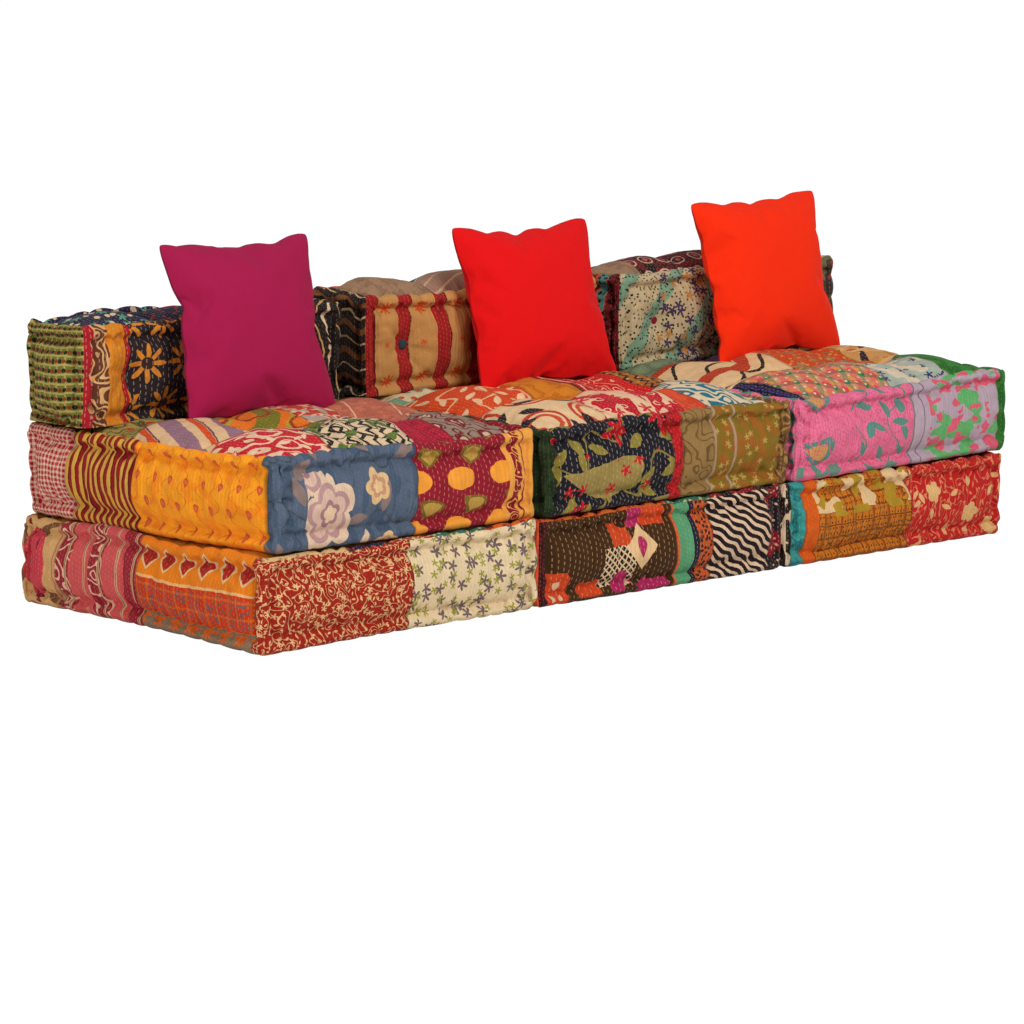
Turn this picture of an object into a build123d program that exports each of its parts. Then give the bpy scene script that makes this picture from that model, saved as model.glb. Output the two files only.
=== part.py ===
from build123d import *
import os
from math import sqrt

os.makedirs("parts", exist_ok=True)

# A low sofa of three loose modules in a row. Each module is a base cushion, a seat cushion and a back
# cushion, all hand-tufted box cushions with rolled edges, and a scatter pillow leans on each back.
# The origin is the middle of the middle base's flat underside, on the floor. Seen from the front, +X runs
# along the row to the right. -Y is the front and +Z is up.

# The row of modules
module_names = ("left", "middle", "right")
module_pitch = 700.0
module_gap = 0.3
module_depth = 740.0
base_height = 180.0
seat_height = 180.0
seat_shift_x = 10.0
seat_shift_y = 8.0
seat_turn = 0.8

# The back cushions, which stand on the seats along the rear edge
back_lengths = (662.0, 662.0, 694.0)
back_depth = 200.0
back_height = 196.0
back_start_shares = (-0.027, 0.0, 0.037)

# The stuffed box form: rolled edges, and panels that puff between them
roll_radius = 15.0
corner_roll_radius = 13.5
roll_bend = 20.0
panel_inset = 11.0
panel_bend = 26.0
side_puff = 9.0
side_run = 62.0
draw_in = 5.0
upright_proud = 1.5
flat_cut = 0.5
seat_crown = 32.0
seat_crown_run = 95.0
back_crown = 20.0
back_face_puff = 19.0
back_crown_run = 70.0

# The cover, its stuffing and the clearances between pieces
cover_wall = 4.0
fill_clearance = 0.3
stack_clearance = 0.3
tie_clearance = 0.3

# The tufts: a thread tie through the cushion, with a cloth button on each side
tie_radius = 2.0
button_radius = 11.0
button_rim = 4.0
button_dome = 4.0
button_seat = 2.0
seat_tuft_depth = 34.0
seat_tuft_reach = 100.0
hidden_tuft_depth = 17.0
hidden_tuft_reach = 46.0
back_tuft_depth = 27.0
back_tuft_reach = 78.0
tuft_flare_run = 45.0
tuft_flare_rise = 9.0
tuft_flank_share = 0.62
seat_tuft_shares = ((-0.167, -0.167), (0.167, -0.167), (-0.167, 0.167), (0.167, 0.167))
back_tuft_shares = (-0.325, 0.0, 0.325)

# The scatter pillows, measured as stuffed
pillow_names = ("magenta", "red", "orange")
pillow_width = 366.0
pillow_height = 362.0
pillow_thickness = 128.0
pillow_side_draw = 9.0
pillow_tip_radius = 6.0
pillow_seam = 6.0
pillow_shoulder = 150.0
pillow_leans = (13.0, 16.0, 12.5)
pillow_turns = (-4.0, -1.0, 1.0)
pillow_tilts = (0.0, 0.5, 2.0)
pillow_along_shares = (0.462, 0.566, 0.55)
pillow_start = 190.0
settle_steps = 9

# One overrun serves every cut, and a shoulder takes at most this share of its side
overrun = 60.0
widest_run_share = 0.42

cushion_length = module_pitch - module_gap
quarter_middle = 1 / sqrt(2)


def outline(low, high, puffs, runs, swells, bend):
    """A closed outline round the box from low to high, whose sides puff out.

    The sides run bottom, right, top, left. Each starts at its corner, climbs by its puff within its run
    and then crosses to the far shoulder, with its middle standing out by its swell.
    """
    corners = [Vector(low.X, low.Y), Vector(high.X, low.Y), Vector(high.X, high.Y), Vector(low.X, high.Y)]
    ways = [Vector(1, 0), Vector(0, 1), Vector(-1, 0), Vector(0, -1)]
    edges = []
    for side, way in enumerate(ways):
        after = ways[(side + 1) % len(ways)]
        out = Vector(way.Y, -way.X)
        corner = corners[(side + 1) % len(corners)]
        start = corners[side] + way * bend
        end = corner - way * bend
        near = start
        far = end
        if puffs[side] > 0:
            run = min(runs[side], (end - start).length * widest_run_share)
            near = start + way * run + out * puffs[side]
            far = end - way * run + out * puffs[side]
            edges.append(TangentArc(near, start, tangent=way * -1))
        if swells[side]:
            edges.append(ThreePointArc(near, (near + far) / 2 + out * swells[side], far))
        else:
            edges.append(Line(near, far))
        if puffs[side] > 0:
            edges.append(TangentArc(far, end, tangent=way))
        if bend > 0:
            middle = corner + (way - after) * bend * (quarter_middle - 1)
            edges.append(ThreePointArc(end, middle, corner + after * bend))
    return make_face(Wire(edges))


def core(size, top_puff, top_run, face_puff, inset):
    """The stuffed box between its rolled edges, drawn in on all sides by an inset.

    It is what three prisms share. The upright ones stand a little proud of the plan and of each other,
    so that each panel's broad middle comes from one prism alone.
    """
    end_proud = side_puff + upright_proud
    face_proud = face_puff + upright_proud
    half_x = size.X / 2 - panel_inset - inset
    half_y = size.Y / 2 - panel_inset - inset
    low_z = inset
    high_z = size.Z - panel_inset - inset
    plan = outline(
        Vector(-half_x, -half_y), Vector(half_x, half_y), (face_puff, side_puff, face_puff, side_puff),
        (side_run, side_run, side_run, side_run), (-draw_in, -draw_in, -draw_in, -draw_in), panel_bend)
    length_way = outline(
        Vector(-half_x, low_z), Vector(half_x, high_z), (0, end_proud, top_puff, end_proud),
        (0, side_run, top_run, side_run), (0, 0, 0, 0), 0)
    depth_way = outline(
        Vector(-half_y, low_z), Vector(half_y, high_z), (0, face_proud, top_puff + upright_proud, face_proud),
        (0, side_run, top_run, side_run), (0, 0, 0, 0), 0)
    across = Plane(origin=(0, 0, 0), x_dir=(0, 1, 0), z_dir=(1, 0, 0))
    body = extrude(plan, size.Z + overrun, both=True)
    body = body & extrude(Plane.XZ * length_way, size.Y / 2 + overrun, both=True)
    return body & extrude(across * depth_way, size.X / 2 + overrun, both=True)


def ring_roll(size, level):
    """One rolled edge round the cushion, whose sides draw in between the corners.

    The corners stand out by what their bends lose to the drawn-in sides, so the roll reaches its full size.
    """
    side_x = size.X / 2 - roll_radius
    side_y = size.Y / 2 - roll_radius
    half_x = side_x + roll_bend * draw_in * 2 / side_y
    half_y = side_y + roll_bend * draw_in * 2 / side_x
    corners = [Vector(-half_x, -half_y), Vector(half_x, -half_y), Vector(half_x, half_y), Vector(-half_x, half_y)]
    inward = [Vector(0, draw_in), Vector(-draw_in, 0), Vector(0, -draw_in), Vector(draw_in, 0)]
    sides = []
    for side, start in enumerate(corners):
        end = corners[(side + 1) % len(corners)]
        sides.append(ThreePointArc(start, (start + end) / 2 + inward[side], end))
    face = make_face(Wire(sides))
    path = fillet(face.vertices(), roll_bend).face().outer_wire()
    path = path.moved(Location((0, 0, level)))
    return sweep(Plane(path @ 0, z_dir=path % 0) * Circle(roll_radius), path=path)


def corner_rolls(size):
    """The four upright rolled edges, which end inside the rings above and below."""
    reach = roll_radius + roll_bend * (1 - quarter_middle)
    half_x = size.X / 2 - reach
    half_y = size.Y / 2 - reach
    height = size.Z - roll_radius * 2
    rolls = []
    for x in (-half_x, half_x):
        for y in (-half_y, half_y):
            rolls.append(Pos(x, y, size.Z / 2) * Cylinder(corner_roll_radius, height))
    return rolls


def dimple(depth, reach):
    """The space over one tuft, about Z, with zero at the panel's level: a flat seat, then a rounded flank."""
    seat = button_radius + button_seat
    flank = Vector(seat + (reach - seat) * (1 - tuft_flank_share), -depth * (1 - tuft_flank_share))
    edges = [
        Line((0, -depth), (seat, -depth)),
        ThreePointArc((seat, -depth), flank, (reach, 0)),
        Line((reach, 0), (reach + tuft_flare_run, tuft_flare_rise)),
        Line((reach + tuft_flare_run, tuft_flare_rise), (reach + tuft_flare_run, overrun)),
        Line((reach + tuft_flare_run, overrun), (0, overrun)),
        Line((0, overrun), (0, -depth)),
    ]
    return revolve(Plane.XZ * make_face(Wire(edges)), Axis.Z)


def button():
    """One cloth button on the seat of its dimple, about Z, standing on zero: a rim under a round cap."""
    cap_radius = (button_radius ** 2 + button_dome ** 2) / (button_dome * 2)
    top = button_rim + button_dome
    half_way = button_radius / 2
    half_way_height = top - cap_radius + sqrt(cap_radius ** 2 - half_way ** 2)
    edges = [
        Line((0, 0), (button_radius, 0)),
        Line((button_radius, 0), (button_radius, button_rim)),
        ThreePointArc((button_radius, button_rim), (half_way, half_way_height), (0, top)),
        Line((0, top), (0, 0)),
    ]
    return revolve(Plane.XZ * make_face(Wire(edges)), Axis.Z)


def tuft_line(place, low, high, low_depth, high_depth, low_reach, high_reach):
    """One tuft: its place, whose Z runs along the tie, and the level, depth and reach at each end."""
    return dict(
        place=place, low=low, high=high, low_depth=low_depth, high_depth=high_depth, low_reach=low_reach,
        high_reach=high_reach)


def cut_tufts(body, lines, inset):
    """Takes the dimples and the tie holes out of a body whose walls are drawn in by an inset."""
    for line in lines:
        over = Pos(0, 0, line["high"] - inset) * dimple(line["high_depth"], line["high_reach"])
        under = Pos(0, 0, line["low"] + inset) * Rot(180, 0, 0) * dimple(line["low_depth"], line["low_reach"])
        middle = (line["high"] + line["low"]) / 2
        hole = Pos(0, 0, middle) * Cylinder(tie_radius + tie_clearance, line["high"] - line["low"])
        for tool in (over, under, hole):
            body = body - line["place"] * tool
    return body


def tuft_buttons(lines):
    """Both buttons of every tuft."""
    pieces = []
    for line in lines:
        pieces.append(line["place"] * Pos(0, 0, line["high"] - line["high_depth"]) * button())
        pieces.append(line["place"] * Pos(0, 0, line["low"] + line["low_depth"]) * Rot(180, 0, 0) * button())
    return pieces


def tuft_ties(lines):
    """The thread of every tuft, from button to button."""
    pieces = []
    for line in lines:
        low = line["low"] + line["low_depth"]
        high = line["high"] - line["high_depth"]
        pieces.append(line["place"] * Pos(0, 0, (low + high) / 2) * Cylinder(tie_radius, high - low))
    return pieces


def box_cushion(size, top_puff, top_run, face_puff, lines):
    """The four kinds of piece of one tufted box cushion, standing on zero."""
    wall_inset = cover_wall + fill_clearance
    outer = core(size, top_puff, top_run, face_puff, 0)
    cavity = core(size, top_puff, top_run, face_puff, cover_wall)
    fill = core(size, top_puff, top_run, face_puff, wall_inset)
    for level in (size.Z - roll_radius, roll_radius - flat_cut):
        outer = outer + ring_roll(size, level)
    for roll in corner_rolls(size):
        outer = outer + roll
    outer = outer - Pos(0, 0, -overrun / 2) * Box(size.X + overrun, size.Y + overrun, overrun)
    outer = cut_tufts(outer, lines, 0)
    cavity = cut_tufts(cavity, lines, cover_wall)
    fill = cut_tufts(fill, lines, wall_inset)
    return dict(
        form=outer, cover=[outer - cavity], fill=[fill], buttons=tuft_buttons(lines), ties=tuft_ties(lines))


def flat_tufts(size, top_level, top_depth, top_reach):
    """The tufts that run straight up through a base or a seat."""
    lines = []
    for along, deep in seat_tuft_shares:
        place = Pos(size.X * along, size.Y * deep, 0)
        lines.append(tuft_line(place, 0, top_level, hidden_tuft_depth, top_depth, hidden_tuft_reach, top_reach))
    return lines


def base_cushion():
    """A base: its top is pressed flat by the seat, level with its rolled edges."""
    size = Vector(cushion_length, module_depth, base_height)
    lines = flat_tufts(size, base_height, hidden_tuft_depth, hidden_tuft_reach)
    return box_cushion(size, panel_inset, seat_crown_run, side_puff, lines)


def seat_level():
    """The height of a seat's broad top over its own underside."""
    return seat_height - panel_inset + seat_crown


def seat_cushion():
    """A seat: its top is crowned, and its tufts draw it down into hills."""
    size = Vector(cushion_length, module_depth, seat_height)
    lines = flat_tufts(size, seat_level(), seat_tuft_depth, seat_tuft_reach)
    return box_cushion(size, seat_crown, seat_crown_run, side_puff, lines)


def back_cushion(length):
    """A back: its tufts run from front to rear."""
    size = Vector(length, back_depth, back_height)
    face = back_depth / 2 - panel_inset + back_face_puff
    lines = []
    for along in back_tuft_shares:
        place = Pos(length * along, 0, back_height / 2) * Rot(90, 0, 0)
        lines.append(tuft_line(
            place, -face, face, back_tuft_depth, back_tuft_depth, back_tuft_reach, back_tuft_reach))
    return box_cushion(size, back_crown, back_crown_run, back_face_puff, lines)


def pillow_form(inset):
    """A pillow flat on its back: crowned both ways, with a thin seam and sides drawn in between its tips."""
    half_x = pillow_width / 2 - inset
    half_y = pillow_height / 2 - inset
    seam = pillow_seam / 2
    crown = pillow_thickness / 2 - seam - inset
    draws = (-pillow_side_draw, -pillow_side_draw, -pillow_side_draw, -pillow_side_draw)
    plan = outline(
        Vector(-half_x, -half_y), Vector(half_x, half_y), (0, 0, 0, 0), (0, 0, 0, 0), draws, pillow_tip_radius)
    run = pillow_shoulder - inset
    width_way = outline(
        Vector(-half_x, -seam), Vector(half_x, seam), (crown, 0, crown, 0), (run, 0, run, 0), (0, 0, 0, 0), 0)
    crown = crown + upright_proud
    height_way = outline(
        Vector(-half_y, -seam), Vector(half_y, seam), (crown, 0, crown, 0), (run, 0, run, 0), (0, 0, 0, 0), 0)
    across = Plane(origin=(0, 0, 0), x_dir=(0, 1, 0), z_dir=(1, 0, 0))
    body = extrude(plan, pillow_thickness, both=True)
    body = body & extrude(Plane.XZ * width_way, pillow_height, both=True)
    return body & extrude(across * height_way, pillow_width, both=True)


def write(name, pieces):
    """Writes one named node, as one solid or as a group of separate solids."""
    solids = []
    for piece in pieces:
        solids.extend(piece.solids())
    shape = solids[0] if len(solids) == 1 else Compound(children=solids)
    export_step(shape, f"parts/{name}.step")


def write_cushion(name, cushion, place):
    """Writes a box cushion's four kinds of piece at their place."""
    for kind in ("cover", "fill", "buttons", "ties"):
        write(f"{name}_{kind}", [place * piece for piece in cushion[kind]])


def settle(piece, way, stops):
    """Moves a piece along a way until it is about the stacking clearance from the nearest of its stops.

    No step is longer than the free distance, so the piece never passes into a stop.
    """
    for step in range(settle_steps):
        free = min(piece.distance_to(stop) for stop in stops) - stack_clearance
        piece = Pos(way * free) * piece
    return piece


def lean_pillow(index, middle, back_front, back_floor, seat_form, back_form):
    """The place of one pillow: upright on the seat, leaning on the front of its back."""
    x = middle + seat_shift_x - module_pitch / 2 + module_pitch * pillow_along_shares[index]
    turned = Rot(0, 0, pillow_turns[index]) * Rot(90 - pillow_leans[index], 0, 0)
    place = Pos(x, back_front - pillow_start, back_floor + pillow_height) * turned * Rot(0, 0, pillow_tilts[index])
    pillow = place * pillow_form(0)
    settled = settle(pillow, Vector(0, 0, -1), [seat_form])
    settled = settle(settled, Vector(0, 1, 0), [back_form])
    settled = settle(settled, Vector(0, 0, -1), [seat_form, back_form])
    shift = settled.center() - pillow.center()
    return Pos(shift) * place


seat_floor = base_height + stack_clearance
back_floor = seat_floor + seat_level() + stack_clearance
base = base_cushion()
seat = seat_cushion()
backs = {length: back_cushion(length) for length in sorted(set(back_lengths))}
pillow_cover = pillow_form(0) - pillow_form(cover_wall)
pillow_pad = pillow_form(cover_wall + fill_clearance)

for index, name in enumerate(module_names):
    middle = (index - 1) * module_pitch
    seat_place = Pos(middle + seat_shift_x, seat_shift_y, seat_floor) * Rot(0, 0, seat_turn)
    write_cushion(f"{name}_base", base, Pos(middle, 0, 0))
    write_cushion(f"{name}_seat", seat, seat_place)

    back = backs[back_lengths[index]]
    back_start = middle + seat_shift_x - cushion_length / 2 + module_pitch * back_start_shares[index]
    back_front = seat_shift_y + module_depth / 2 - back_depth
    back_place = Pos(back_start + back_lengths[index] / 2, back_front + back_depth / 2, back_floor)
    write_cushion(f"{name}_back", back, back_place)

    seat_form = seat_place * seat["form"]
    back_form = back_place * back["form"]
    pillow_place = lean_pillow(index, middle, back_front, back_floor, seat_form, back_form)
    write(f"{pillow_names[index]}_pillow_cover", [pillow_place * pillow_cover])
    write(f"{pillow_names[index]}_pillow_pad", [pillow_place * pillow_pad])
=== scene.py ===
import logging
from dataclasses import dataclass, field
from enum import Enum
from math import pi, radians, sqrt
from typing import Any, Optional, Union

import bpy
import numpy as np
from mathutils import Euler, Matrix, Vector


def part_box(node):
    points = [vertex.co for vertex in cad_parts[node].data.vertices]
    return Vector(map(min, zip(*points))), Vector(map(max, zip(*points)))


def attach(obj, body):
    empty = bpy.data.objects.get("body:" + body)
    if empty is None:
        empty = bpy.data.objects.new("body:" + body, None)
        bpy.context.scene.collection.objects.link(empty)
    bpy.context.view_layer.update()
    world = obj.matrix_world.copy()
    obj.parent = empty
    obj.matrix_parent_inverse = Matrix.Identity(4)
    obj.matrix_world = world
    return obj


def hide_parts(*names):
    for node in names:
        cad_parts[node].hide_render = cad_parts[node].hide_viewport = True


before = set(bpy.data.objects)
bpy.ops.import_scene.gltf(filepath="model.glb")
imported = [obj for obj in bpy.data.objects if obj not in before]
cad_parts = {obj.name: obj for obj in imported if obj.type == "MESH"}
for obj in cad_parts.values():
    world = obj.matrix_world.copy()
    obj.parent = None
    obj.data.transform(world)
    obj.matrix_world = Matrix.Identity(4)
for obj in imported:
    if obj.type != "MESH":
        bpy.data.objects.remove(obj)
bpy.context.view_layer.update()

LOG = logging.getLogger("pouf_sofa")

Colour = tuple[int, int, int]
Socket = Union[float, tuple, bpy.types.NodeSocket]
Columns = tuple[tuple[float, str], ...]
Rows = tuple[tuple[float, Columns], ...]

PATTERN_UV = "Pattern"
ATLAS_UV = "OFBake"
SEAM = "seam"
REST = "rest"


class Side(Enum):
    """The six panels of a box cushion, each read from outside with its u to the right and its v up.

    Each value is the axis that the panel faces along, and which way it faces.
    """

    FRONT = (1, -1.0)
    RIGHT = (0, 1.0)
    REAR = (1, 1.0)
    LEFT = (0, -1.0)
    TOP = (2, 1.0)
    BOTTOM = (2, -1.0)

    @property
    def axes(self) -> tuple[int, ...]:
        """The axes that its u and its v run along."""
        return tuple(axis for axis in range(3) if axis != self.value[0])


FRONT, RIGHT, REAR, LEFT, TOP, BOTTOM = Side


class Motif(Enum):
    """The printed motifs, each a mask over one repeat of the cloth."""

    FLOOD = "flood"
    STRIPE = "stripe"
    CHECK = "check"
    NET = "net"
    DOT = "dot"
    RING = "ring"
    FLOWER = "flower"
    SCATTER = "scatter"
    LEAF = "leaf"
    VINE = "vine"
    CURL = "curl"
    ZIGZAG = "zigzag"
    WAVE = "wave"
    DIAMOND = "diamond"
    PAISLEY = "paisley"
    BLOOM = "bloom"
    SPECK = "speck"
    BLOTCH = "blotch"


@dataclass(frozen=True)
class Print:
    """One colour of a print.

    pitch is the repeat in metres, size the motif's share of it, turn its angle in degrees, and stretch
    lengthens it. band keeps the print between two distances in metres from the patch's left edge, or from
    its lower edge where level is true; a band of four keeps it in a box of left, right, lower and upper
    edges. move shifts the print along and up the patch.
    """

    motif: Motif
    colour: Colour
    pitch: float = 0.02
    size: float = 0.5
    turn: float = 0.0
    stretch: float = 1.0
    seed: float = 0.0
    band: Optional[tuple[float, ...]] = None
    level: bool = False
    move: tuple[float, float] = (0.0, 0.0)


@dataclass(frozen=True)
class Cloth:
    """One fabric of the patchwork: its ground, its prints and its running stitch."""

    ground: Colour
    prints: tuple[Print, ...] = ()
    thread: Colour = (222, 206, 176)
    rows: float = 0.0085
    show: float = 0.35
    rough: float = 0.92
    fade: float = 0.45


AGEING = (0.97, 0.87, 0.76)
UNAGED = (1.0, 1.0, 1.0)
# Painted shade: the near-black that each cloth is mixed halfway towards at its seams, standing in for the shade
# in the seams' grooves.
PAINTED_SEAM_SHADE = (0.02, 0.015, 0.012, 1.0)
WHITE = (1.0, 1.0, 1.0, 1.0)


def linear(colour: Colour, ageing: tuple[float, float, float] = UNAGED) -> tuple[float, float, float, float]:
    """Turns a display colour of 0 to 255, less what age takes of each part, into a linear one."""
    shares = [part * kept / 255 for part, kept in zip(colour, ageing)]
    return (*[part / 12.92 if part <= 0.04045 else ((part + 0.055) / 1.055) ** 2.4 for part in shares], 1.0)


def stacked(motif: Motif, pitch: float, *inks: tuple[Colour, float], **place: Any) -> tuple[Print, ...]:
    """Prints one motif several times over itself, in each ink's colour and size, the lowest first."""
    return tuple(Print(motif, colour, pitch, size, **place) for colour, size in inks)


def mottled(ground: Colour, tone: Colour, thread: Colour, pitch: float = 0.03, size: float = 0.4) -> Cloth:
    """A nearly plain cloth, whose ground is blotched with one other tone."""
    return Cloth(ground, (Print(Motif.BLOTCH, tone, pitch, size),), thread)


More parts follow.
